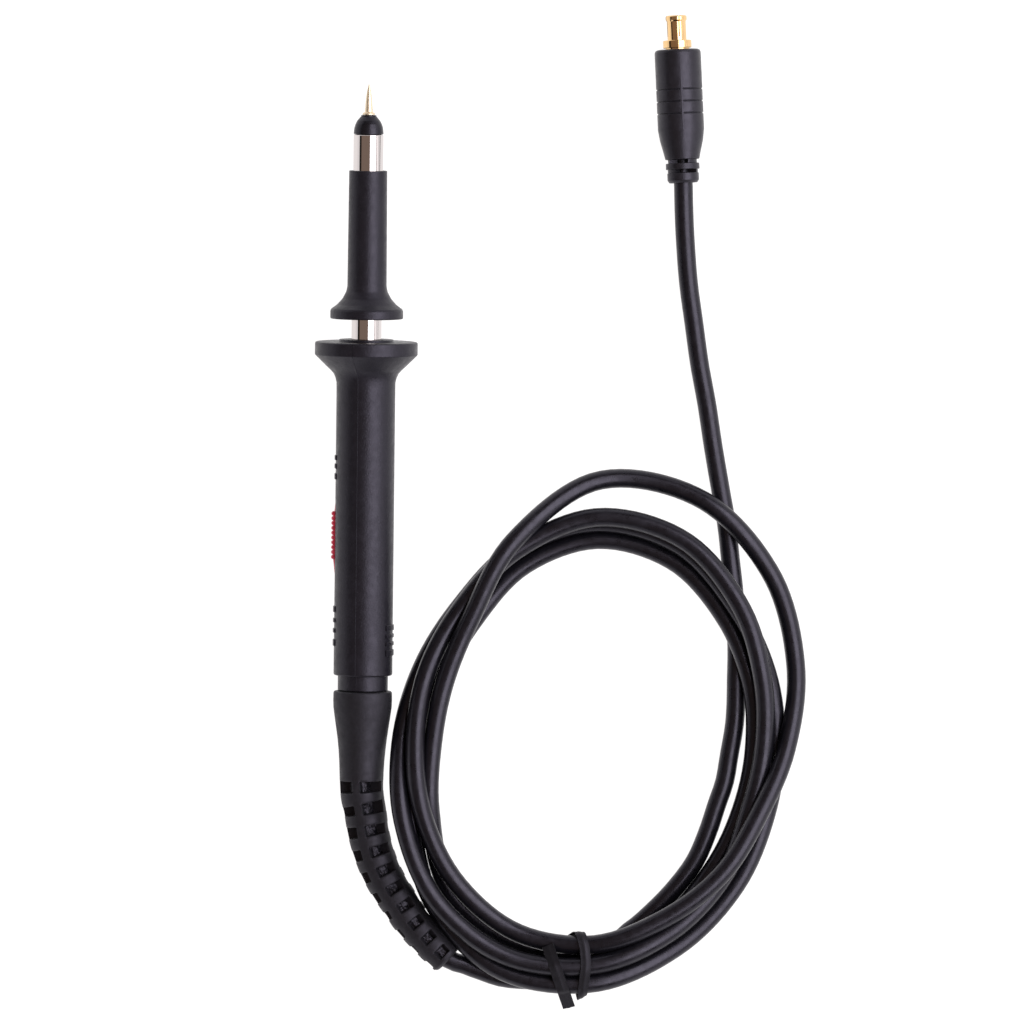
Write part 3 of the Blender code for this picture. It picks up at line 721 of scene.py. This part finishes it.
def cord_route():
    start = on_axis(CORD_EXIT_BACK, STRAIGHT_END) + BOOT_ROUTE + CORD_START_ROUTE
    ranked = [(*point, START_RANK) for point in start] + coil_points()
    ranked += [(*point, INSIDE_RANK) for point in INSIDE_RUN]
    return settled(smooth_route(ranked, ROUTE_STEP))


def tube(name, route, radius, look, sides=24):
    sections = []
    for point, across, up in frames(route):
        turns = [2 * math.pi * i / sides for i in range(sides)]
        sections.append([point + radius * (across * math.cos(a) + up * math.sin(a)) for a in turns])
    return skin(name, sections, look)


# The camera comes first, then the cord.


def camera():
    data = bpy.data.cameras.new("camera")
    data.sensor_width = SENSOR_MM
    data.lens = SENSOR_MM * (VIEW_HEIGHT - PROBE_LEVEL) / VIEW_WIDTH
    data.clip_start, data.clip_end = 0.01, 20
    obj = bpy.data.objects.new("camera", data)
    bpy.context.scene.collection.objects.link(obj)
    obj.location = (*VIEW_CENTRE, VIEW_HEIGHT)
    obj.rotation_euler = (0, 0, VIEW_ROLL)
    bpy.context.scene.camera = obj


camera()
route = cord_route()
lead = tube("lead", route, CORD_RADIUS, LOOKS["cable_jacket"])
finish_piece(lead, "probe", "cable_jacket", "cable_end", "cord_start", "cord_coil", "cord_lead")


# The needle end.


def tip_pieces():
    needle = [(0, 0), (0.04, 0.02), (0.11, 0.25), (0.31, 1.1), (0.5, 2.4, 1.0), (0.58, 3.4)]
    needle += [(0.64, 4.3, 0.3), (0.68, 4.66, 0.1), (0.98, 4.8, 0.1), (1.04, 4.92, 0.05)]
    needle += [(1.04, 5.1, 0.05), (0.5, 5.12), (0.5, 14.0), (0, 14.0)]
    piece = turned("needle", needle, LOOKS["needle_plate"], PROBE, closed=False, sides=SMALL_ROUND)
    finish_piece(piece, "probe", "gold_plate", "probe_needle")
    dome = [(1.27, 5.16, 0.02), (1.27, 5.36), (1.36, 5.42, 0.1), (1.6, 5.71, 0.6)]
    dome += [(1.91, 6.08, 0.8), (2.19, 6.63, 1.0), (2.36, 7.18, 1.0), (2.45, 7.9, 0.8)]
    dome += [(2.48, 8.26, 0.03), (2.0, 8.28), (2.0, 13.0), (0.62, 13.0), (0.62, 5.16, 0.05)]
    piece = turned("nose", dome, LOOKS["nose_plastic"], PROBE, sides=SMALL_ROUND)
    finish_piece(piece, "probe", "nose_plastic", "nose_insulator")
    barrel = [(2.15, 8.32, 0.03), (2.36, 8.32), (BARREL_RADIUS, 8.47, 0.03), (BARREL_RADIUS, 48.4)]
    barrel += [(3.2, 48.4), (3.2, 49.3), (2.15, 49.3)]
    piece = turned("barrel", barrel, LOOKS["nickel_plate"], PROBE)
    finish_piece(piece, "probe", "nickel_plate", "ground_barrel")


def sleeve():
    bore = BARREL_RADIUS + 0.08
    profile = [(bore, 14.3, 0.05), (3.15, 14.3, 0.18), (3.25, 33.4, 3.0), (3.42, 34.3, 1.5)]
    profile += [(4.05, 35.5, 2.0), (4.95, 36.5, 2.0), (5.85, 37.15, 0.4), (6.03, 37.5, 0.2)]
    profile += [(6.03, 38.8, 0.25), (bore, 38.8, 0.05)]
    piece = turned("sleeve", profile, LOOKS["handle_plastic"], PROBE)
    finish_piece(piece, "probe", "handle_plastic", "barrel_sleeve")


# The handle.


def handle_profile():
    bore = BARREL_RADIUS + 0.12
    outer = [(bore, 42.2, 0.05), (4.5, 42.2, 0.15), (4.6, 42.6, 0.1), (8.5, 42.6, 0.35)]
    outer += [(8.5, 44.75, 0.3), (7.57, 45.66), (6.57, 46.65), (5.91, 47.25), (5.41, 47.8)]
    outer += [(5.08, 48.5), (4.885, 49.3), (HANDLE_RADIUS, 50.2), (HANDLE_RADIUS, HANDLE_END, 0.45)]
    outer += [(4.15, HANDLE_END, 0.1)]
    outer += [(4.15, NECK_END, 0.1), (3.3, NECK_END), (3.3, SPIGOT_END), (1.7, SPIGOT_END)]
    outer += [(1.7, 98.5), (2.6, 98.5), (2.6, 93.0), (3.45, 93.0)]
    return outer + [(3.45, 48.2), (bore, 48.2)]


def handle_shells():
    """The two shells. Each is a little less than half a turn, so that the seam between them
    shows."""
    hair = SEAM / HANDLE_RADIUS
    sides = {}
    for i, (name, node) in enumerate((("plain_shell", "plain"), ("switch_shell", "switch"))):
        start = MOULD_LINES[0] - math.pi * (1 - i) + hair
        shell = turned(
            name,
            handle_profile(),
            LOOKS["handle_plastic"],
            PROBE,
            sides=ROUND // 2,
            start=start,
            sweep=math.pi - 2 * hair,
            reshape=mould_line(
                [start - hair, start + math.pi - hair],
                width=math.radians(0.5),
                height=0.045,
                from_radius=3.9,
                after=47.0,
            ),
        )
        sides[node] = shell
    return sides


def marks():
    """Plain raised bars on the handle."""
    proud, sunk = HANDLE_RADIUS + MARK_HEIGHT, HANDLE_RADIUS - MARK_DEPTH
    for i, (first, last, middle, half) in enumerate(MARKS):
        profile = [(sunk, first), (proud, first, 0.12), (proud, last, 0.12), (sunk, last)]
        start, sweep = math.radians(middle - half - 90), math.radians(2 * half)
        bar = turned(
            f"mark_{i}", profile, LOOKS["handle_plastic"], PROBE, sides=16, start=start, sweep=sweep
        )
        finish_piece(bar, "probe", "handle_plastic")


tip_pieces()
sleeve()
marks()
shells = handle_shells()
for node, shell in shells.items():
    finish_piece(shell, "probe", "handle_plastic", f"handle_shell_{node}_side")


# The switch and the trimmer.


def knob():
    """The red slider, with its crowned bar in the window, its ribbed grip and its plate inside."""
    front, end = KNOB
    grip_front, grip_end = GRIP
    pitch = (grip_end - grip_front) / GRIP_RIBS
    side = [(KNOB_FOOT, -front), (4.8, -front), (4.98, -grip_front)]
    for i in range(GRIP_RIBS):
        for step in range(RIB_STEPS + 1):
            share = step / RIB_STEPS
            back = grip_front + (i + RIB_START + RIB_SHARE * share) * pitch
            crest = math.sin(math.pi * share) ** RIB_FULLNESS
            side.append((GRIP_HEIGHT - GRIP_GROOVE + GRIP_GROOVE * crest, -back))
    side += [(5.12, -grip_end), (4.8, -end), (KNOB_FOOT, -end)]
    crown = [(1.5, 0.5), (1.43, 0.3), (1.25, 0.14), (0.9, 0.05), (0, 0)]
    crown = [(-y, drop) for y, drop in crown] + [(y, drop) for y, drop in reversed(crown[:-1])]
    sections = [[(x - drop * (x > KNOB_FOOT), y, z) for x, z in side] for y, drop in crown]
    bar = skin("knob", sections, LOOKS["red_plastic"], INSIDE)
    plate = block("plate", *KNOB_PLATE, LOOKS["red_plastic"], INSIDE, bevel=0.1)
    baked(plate)
    cut(bar, plate, "UNION")
    finish_piece(bar, "switch_slider", "red_plastic", "switch_knob")


def window():
    """The switch window and the trimmer's hole, cut in the switch side's shell."""
    front, end, width = WINDOW
    low, high = (WINDOW_CUT[0], -width / 2, -end), (WINDOW_CUT[1], width / 2, -front)
    opening = block("window", low, high, LOOKS["handle_plastic"], INSIDE, bevel=0.25)
    cut(shells["switch"], baked(opening))
    bm = bmesh.new()
    out, depth = TRIMMER_HOLE_OUT * MM, TRIMMER_HOLE_DEPTH * MM
    turn = Matrix.Translation((out, 0, -TRIMMER_BACK * MM)) @ Matrix.Rotation(math.pi / 2, 4, "Y")
    radius = TRIMMER_HOLE_RADIUS * MM
    bmesh.ops.create_cone(
        bm,
        cap_ends=True,
        segments=48,
        radius1=radius,
        radius2=radius,
        depth=depth,
        matrix=INSIDE @ turn,
    )
    hole = add("trimmer_hole", mesh_of("trimmer_hole", bm), LOOKS["handle_plastic"])
    cut(shells["switch"], hole)


knob()
window()


# The strain relief.


def boot_angles(share):
    """(angle from the top towards +X, how open it is there): four spines with windows between them.
    share is how far on it is from the first row to the last."""
    spine_width = BOOT_SPINE[0] + (BOOT_SPINE[1] - BOOT_SPINE[0]) * share
    edge = [(0.06, 1.0), (0.3, 1.6), (0.95, 2.0), (1.0, 2.6)]  # how open, degrees from the spine
    opening = math.pi / 2 - spine_width
    inner = opening - 2 * math.radians(edge[-1][1])
    found = []
    for i in range(4):
        spine = i * math.pi / 2 - MOULD_LINE - BOOT_TWIST * share
        steps = [j / SPINE_STEPS - 0.5 for j in range(SPINE_STEPS + 1)]
        found += [(spine + spine_width * step, 0.0) for step in steps]
        start = spine + spine_width / 2
        found += [(start + math.radians(step), depth) for depth, step in edge]
        inside = start + math.radians(edge[-1][1])
        found += [(inside + inner * j / WINDOW_STEPS, 1.0) for j in range(1, WINDOW_STEPS)]
        found += [(start + opening - math.radians(step), depth) for depth, step in reversed(edge)]
    return found


def boot_stations(length):
    """(distance along, outer radius, how open it is there, how far it is from the first row to the
    last)."""
    head = [(0.0, 4.4), (0.06, 4.68), (0.18, 4.8), (0.4, 4.85), (1.5, 4.87), (2.7, 4.83)]
    head += [(4.4, 4.6), (6.1, 4.35), (8.0, 4.08), (9.9, 3.88), (11.7, 3.74), (13.0, 3.68)]
    head += [(13.7, 3.65)]
    found = [(along, radius, 0.0, 0.0) for along, radius in head]
    edge = [(0.0, 0.0), (0.08, 0.05), (0.13, 0.3), (0.17, 0.95), (0.22, 1.0)]  # distance, how open
    centre = BOOT_FIRST_ROW - BOOT_BACK
    pitch = BOOT_FIRST_PITCH
    for row in range(BOOT_ROWS):
        half = pitch * BOOT_OPEN_SHARE / 2
        steps = [(-pitch / 2 + step, 0.0) for step in BOOT_BAND_EDGES]
        steps += [(-half + step, depth) for step, depth in edge]
        steps += [(half * (j / 3 - 1) * BOOT_FLOOR_SHARE, 1.0) for j in range(1, 6)]
        steps += [(half - step, depth) for step, depth in reversed(edge)]
        steps += [(pitch / 2 - BOOT_BAND_EDGES[1], 0.0)]
        for along, depth in steps:
            share = (row + along / pitch) / (BOOT_ROWS - 1)
            taper = (centre + along - head[-1][0]) / (length - head[-1][0])
            radius = head[-1][1] + (BOOT_END_RADIUS - head[-1][1]) * taper
            waist = 0.5 + 0.5 * math.cos(2 * math.pi * along / pitch)
            radius -= BOOT_WAIST * waist * min(1, max(0, share) + BOOT_WAIST_START)
            found.append((centre + along, radius, depth, min(1, max(0, share))))
        centre += pitch
        pitch -= BOOT_PITCH_LOSS
    for before_end, less in ((0.9, 0.0), (0.5, 0.1), (0.2, 0.32), (0.04, 0.65), (0.0, 0.9)):
        found.append((length - before_end, BOOT_END_RADIUS - less, 0.0, 1.0))
    return found


def boot():
    """A tapered sleeve with rows of windows down to a rough core, bent with the cable."""
    axis_route = smooth_route(on_axis(BOOT_BACK, STRAIGHT_END) + BOOT_ROUTE, BOOT_STEP)
    along_route = distances(axis_route)
    axis = list(frames(axis_route))
    length = float(along_route[-1])

    def ring(along, radii, angles):
        share = float(np.interp(along, along_route, range(len(axis))))
        i = min(int(share), len(axis) - 2)
        point, across, up = (axis[i][k].lerp(axis[i + 1][k], share - i) for k in range(3))
        ways = [up * math.cos(angle) + across * math.sin(angle) for angle, _ in angles]
        return [point + radius * way for radius, way in zip(radii, ways)]

    sections = []
    for along, radius, open_along, share in boot_stations(length):
        angles = boot_angles(share)
        radii = []
        for angle, open_round in angles:
            spot = Vector((math.cos(angle), math.sin(angle), 0)) * BOOT_CORE_AROUND
            spot.z = along * BOOT_CORE_ALONG
            core = BOOT_CORE_RADIUS
            for height, often in BOOT_CORE_ROUGHNESS:
                core += height * noise.noise(spot * often)
            radii.append(radius + (core - radius) * open_along * open_round)
        sections.append(ring(along, radii, angles))
    bore = [(float(along), BOOT_BORE_RADIUS) for along in np.linspace(length, BOOT_BORE_START, 60)]
    bore += [(BOOT_SOCKET_DEPTH, BOOT_SOCKET_RADIUS), (0.0, BOOT_SOCKET_RADIUS)]
    for along, radius in bore:
        angles = boot_angles(min(1, max(0, (along - BOOT_ROWS_START) / (length - BOOT_NO_ROWS))))
        sections.append(ring(along, [radius] * len(angles), angles))
    piece = skin("boot", sections, LOOKS["boot_rubber"], around=True, sharp=50)
    # Faces near the core, deep in the windows, get the darker look: painted shade.
    piece.data.materials.append(LOOKS["boot_core_texture_and_painted_shade"])
    middles = np.array([face.center for face in piece.data.polygons]) / MM
    gaps = np.linalg.norm(middles[:, None, :] - axis_route[None, :, :], axis=2).min(axis=1)
    for face, gap in zip(piece.data.polygons, gaps):
        face.material_index = int(gap < BOOT_CORE_RADIUS + BOOT_CORE_SHADE_REACH)
    return finish_piece(piece, "probe", "boot_rubber", "strain_relief")


relief = boot()


# The tie round the coil's foot.


def resting(first, last, count, clearance):
    """Points along a straight line in plan, at the heights at which a taut strip lies on the
    lead."""
    spots = np.linspace(first, last, count)
    dense = smooth_route(route, LEAD_STEP)
    gaps = np.linalg.norm(spots[:, None, :] - dense[None, :, :2], axis=2)
    rise = np.sqrt(np.clip(CORD_RADIUS**2 - gaps**2, 0, None))
    tops = np.where(gaps < CORD_RADIUS, dense[:, 2] + rise, 0)
    heights = tops.max(axis=1)
    taut = heights.copy()
    for i in range(count):
        for j in range(i):
            for k in range(i + 1, count):
                taut[i] = max(taut[i], heights[j] + (heights[k] - heights[j]) * (i - j) / (k - j))
    return np.column_stack([spots, taut + clearance])


def tie_ring():
    """Rows of x, y, z and the outward direction, of a strip pulled tight round the coil's foot.
    They start under its near side."""
    outline = []
    for here, after in zip(route, route[1:]):
        if (here[0] - TIE_X) * (after[0] - TIE_X) <= 0 and here[1] < FOOT_Y:
            _, y, z = here + (after - here) * (TIE_X - here[0]) / (after[0] - here[0])
            reach = CORD_RADIUS + TIE_GAP
            for i in range(STRAND_SIDES):
                turn = 2 * math.pi * i / STRAND_SIDES
                height = max(TIE_GAP, z + reach * math.sin(turn))
                outline.append((y + reach * math.cos(turn), height))
    hull = np.array([outline[i] for i in geometry.convex_hull_2d(outline)])
    low = np.flatnonzero(hull[:, 1] < TIE_GAP + 0.01)
    hull = np.roll(hull, -low[np.argmin(hull[low, 0])], axis=0)
    hull = np.vstack([hull, hull[:1]])
    along = distances(hull)
    stations = np.linspace(0, along[-1] - RING_OPEN, RING_POINTS)
    y, z = (np.interp(stations, along, column) for column in hull.T)
    step_y, step_z = np.gradient(y), np.gradient(z)
    out = np.column_stack([np.zeros(len(y)), step_z, -step_y])
    out /= np.linalg.norm(out, axis=1)[:, None]
    over = out[:, 2] > TIE_FACING
    under = (out[:, 2] < -TIE_FACING) & (stations < along[-1] / 2)
    places = np.where(under, np.interp(y, *TIE_UNDER), np.interp(y, *TIE_OVER))
    flat = over | under
    x = np.interp(stations, [*stations[flat], stations[-1]], [*places[flat], TIE_END_X])
    sideways = [(side * out[:, 1] - TIE_FACING) / (1 - TIE_FACING) for side in (-1, 1)]
    near, far = np.clip(sideways, 0, 1)
    near = near * (stations > along[-1] / 2)
    out[:, 0] = RING_TWIST * near
    ring = np.column_stack([x, y - NEAR_BULGE * near + FAR_BULGE * far, z, out])
    for _ in range(RING_ROUNDS):
        ring[1:-1] = (ring[:-2] + 2 * ring[1:-1] + ring[2:]) / 4
    return ring


def strip(name, rows, half):
    """A flat strip with a wire along its middle. A row is a point and the direction that the strip
    faces."""
    thin, wire, edge = 0.09, 0.14, 0.04
    side = [(-half + edge, thin), (-0.4, thin), (-0.2, wire), (0.0, wire * 1.2), (0.2, wire)]
    side += [(0.4, thin), (half - edge, thin), (half, 0.0)]
    outline = side + [(-x, -y) for x, y in side]
    sections = []
    for row, tangent in zip(rows, np.gradient(rows[:, :3], axis=0)):
        along = Vector(tangent).normalized()
        out = Vector(row[3:])
        out = (out - along * out.dot(along)).normalized()
        across = along.cross(out)
        sections.append([Vector(row[:3]) + across * x + out * y for x, y in outline])
    return skin(name, sections, LOOKS["tie_plastic"], sharp=40)


def tie():
    """The strip pulled round the coil's foot, and its loose end laid straight over the coil. The
    strip comes up from under the coil, twisted, to the underside of the loose end."""
    leg = resting(*TIE_LEG, LEG_POINTS, TIE_GAP)
    fall = (leg[LEG_FREE, 2] - leg[LEG_FREE - LEG_FALL, 2]) / LEG_FALL
    leg[LEG_FREE + 1 :, 2] = leg[LEG_FREE, 2] + fall * np.arange(1, LEG_POINTS - LEG_FREE)
    upper, lower = leg[LEG_FREE - LEG_LEAN], leg[LEG_FREE]
    lean = (lower[2] - upper[2]) / np.linalg.norm(lower[:2] - upper[:2])
    facing = np.tile((0.0, lean, 1.0), (len(leg), 1))
    strips = [strip("tie_leg", np.column_stack([leg, facing]), LEG_HALF_WIDTH)]
    ring = tie_ring()
    x, y, _ = ring[0, :3]
    leg_x, leg_y, leg_z = leg[LEG_TWIST]
    tail = [
        (leg_x, leg_y, leg_z - 0.3, 0, -1, -0.1),
        (leg_x, leg_y + 0.1, leg_z - 1.9, 0, -1, -0.1),
        (leg_x, leg_y + 0.45, 3.6, 0, -1, -0.3),
        (leg_x, leg_y + 0.95, 2.0, 0, -1, -0.5),
        (leg_x, leg_y + 2.0, 1.3, 0, -0.5, -0.9),
        (x, (leg_y + y) / 2, 0.95, 0, -0.2, -1),
        (x, y - 0.8, 0.45, 0, -0.1, -1),
    ]
    strips.append(strip("tie", smooth_route(np.vstack([tail, ring[2:]]), TIE_STEP), TIE_HALF_WIDTH))
    finish_piece(strips[0], "probe", "tie_plastic")
    finish_piece(strips[1], "probe", "tie_plastic", "twist_tie")
    return strips


bands = tie()


# The plug.


def plug_matrix():
    """The plug's axes, from the record: +Z ahead, with the origin at its mouth."""
    mounts = {mount["name"]: mount for mount in frame["record"]["mounts"]}
    ahead = Vector(mounts["plug_mating_face"]["axis"]).normalized()
    to_mouth = ahead * MATING_BACK - Vector((0, 0, MATING_RADIUS))
    mouth = Vector(mounts["plug_mating_face"]["pos_m"]) + to_mouth * MM
    return Matrix.Translation(mouth) @ ahead.to_track_quat("Z", "Y").to_matrix().to_4x4()


def plug_reshape():
    """The overmould's mould line, which interrupts its grooves, and the slots of its own strain
    relief."""
    lines = (PLUG_MOULD_LINE, PLUG_MOULD_LINE + math.pi)
    edges = [centre + side * half for centre, half in NECK_SLOTS for side in (-1, 1)]
    extra, ridged = mould_line(lines, width=math.radians(0.8), height=0.008, from_radius=3.5)
    extra += [line + math.radians(step) for line in lines for step in GROOVE_ENDS]
    steps = [math.radians(step) for step in (-1.2, 1.2)]
    extra += [edge + step + turn for edge in edges for step in steps for turn in HALF_TURNS]

    def radius_at(angle, radius, back):
        grooved = GROOVED[0] < back < GROOVED[1] and radius > GROOVED_RADIUS
        if grooved and min(turn_from(angle, line) for line in lines) < GROOVE_GAP:
            return ridged(angle, PLUG_RADIUS, back)
        for (centre, half), reach, bridge in zip(NECK_SLOTS, NECK_REACHES, NECK_BRIDGES):
            if abs(back - reach) < NECK_HALF and NECK_RADII[0] < radius < NECK_RADII[1]:
                inside = min(turn_from(angle, centre), turn_from(angle, centre + math.pi)) < half
                return NECK_CORE if inside else bridge
        return radius

    return extra, radius_at


def plug():
    matrix = plug_matrix()
    body = [(2.4, 5.6, 0.05), (3.3, 5.62, 0.3), (3.7, 5.8, 0.3), (PLUG_RADIUS, 6.2, 0.3)]
    for groove in PLUG_GROOVES:
        body += [(PLUG_RADIUS, groove - GROOVE_HALF, 0.05)]
        body += [(PLUG_RADIUS - GROOVE_DEPTH, groove, 0.05)]
        body += [(PLUG_RADIUS, groove + GROOVE_HALF, 0.05)]
    body += [(PLUG_RADIUS, 18.9, 2.0), (3.58, 20.7, 2.0), (3.06, 22.8, 2.0), (2.82, 23.85, 0.12)]
    body += [(2.1, 23.9, 0.03), (2.1, 24.45, 0.03), (2.78, 24.5, 0.12), (2.8, 25.5, 0.12)]
    body += [(2.1, 25.55, 0.03), (2.1, 26.05, 0.03)]
    body += [(2.62, 26.1, 0.15), (2.62, 27.3, 0.3), (2.3, 27.75, 0.2), (1.62, 27.75)]
    body += [(1.62, 26.6), (0.6, 26.6), (0.6, 13.3), (2.4, 13.3)]
    overmould = turned("plug_body", body, LOOKS["plug_rubber"], matrix, reshape=plug_reshape())
    finish_piece(overmould, "probe", "plug_rubber", "plug_overmould")
    collar = [(1.7, 4.1, 0.03), (2.38, 4.1, 0.2), (2.38, 5.4, 0.12), (2.0, 5.4), (2.0, 11.0)]
    collar += [(1.7, 11.0)]
    ring = turned("plug_ring", collar, LOOKS["gold_plate"], matrix, sides=SMALL_ROUND)
    finish_piece(ring, "probe", "gold_plate", "plug_collar")
    contact = [(1.3, 0.0, 0.05), (1.62, 0.0, 0.12), (1.765, 0.2, 0.12), (1.765, 0.72, 0.15)]
    contact += [(1.58, 1.0, 0.2), (1.58, 9.0), (1.3, 9.0)]
    spring = turned("plug_spring", contact, LOOKS["gold_plate"], matrix, sides=SMALL_ROUND)
    for degrees in PLUG_SLITS:
        turn = matrix @ Matrix.Rotation(math.radians(degrees), 4, "Z")
        slit = block("slit", *PLUG_SLIT, LOOKS["gold_plate"], turn, bevel=0.01)
        cut(spring, baked(slit))
    finish_piece(spring, "probe", "gold_plate", "plug_outer_contact")
    return [overmould, ring, spring]


plug_parts = plug()


def cad_materials():
    """Gives each CAD node that still shows the material of its slot."""
    for subpart in frame["record"]["subparts"]:
        node = frame["nodes"][subpart["node"]]
        node.data.materials.clear()
        node.data.materials.append(LOOKS[subpart["material_slot"]])


cad_materials()


# The stage and the light.

FLOOR_REACH_M = 3
FLOOR_GLOW = 1.02
LIGHT_ASIDE = 0.1
ROOM = (  # the room's colours, from straight below at 0 to straight above at 1
    (0.3, (1.0, 0.97, 0.98, 1)),
    (0.35, (0.03, 0.025, 0.02, 1)),
    (0.56, (0.02, 0.016, 0.013, 1)),
    (0.62, (0.24, 0.175, 0.14, 1)),
)


def stage():
    bm = bmesh.new()
    bmesh.ops.create_grid(bm, x_segments=1, y_segments=1, size=FLOOR_REACH_M)
    mesh = mesh_of("floor", bm)
    pale = material("pale_floor", (0.12, 0.12, 0.12), 0.9, mottle=0.004, specular=0.0)
    shader = pale.node_tree.nodes["Principled BSDF"]
    shader.inputs["Emission Color"].default_value = (1.0, 0.985, 0.985, 1)
    shader.inputs["Emission Strength"].default_value = FLOOR_GLOW
    add("floor", mesh, pale)


def area_light(name, tilt, away, size, radiance, colour):
    """A rectangular light on the +X side, tilted from straight above, aimed at the middle of the
    view. Its power follows from its radiance."""
    data = bpy.data.lights.new(name, "AREA")
    data.shape = "RECTANGLE"
    data.size, data.size_y = size
    data.energy = radiance * math.pi * size[0] * size[1]
    data.color = colour
    obj = bpy.data.objects.new(name, data)
    bpy.context.scene.collection.objects.link(obj)
    obj.rotation_euler = (0, tilt, 0)
    way = Vector((math.sin(tilt), LIGHT_ASIDE, math.cos(tilt)))
    obj.location = Vector((*VIEW_CENTRE, 0)) + way * away


def light():
    """White low down all round, as from a lit table, and a warm dark room above it."""
    world = bpy.data.worlds.new("world")
    world.use_nodes = True
    nodes, links = world.node_tree.nodes, world.node_tree.links
    place = nodes.new("ShaderNodeTexCoord")
    parts = nodes.new("ShaderNodeSeparateXYZ")
    ramp = nodes.new("ShaderNodeValToRGB")
    links.new(place.outputs["Generated"], parts.inputs["Vector"])
    links.new(parts.outputs["Z"], ramp.inputs["Fac"])
    links.new(ramp.outputs["Color"], nodes["Background"].inputs["Color"])
    stops = ramp.color_ramp.elements
    for stop, (position, colour) in zip(stops, ROOM[:2]):
        stop.position, stop.color = position, colour
    for position, colour in ROOM[2:]:
        stops.new(position).color = colour
    bpy.context.scene.world = world


stage()
light()
area_light(
    "softbox", math.radians(35), away=0.9, size=(0.76, 1.4), radiance=4.3, colour=(0.97, 0.95, 1.0)
)
area_light(
    "card", math.radians(66), away=1.0, size=(0.34, 1.4), radiance=0.8, colour=(1.0, 0.96, 0.96)
)
bpy.context.scene.view_settings.view_transform = "Standard"
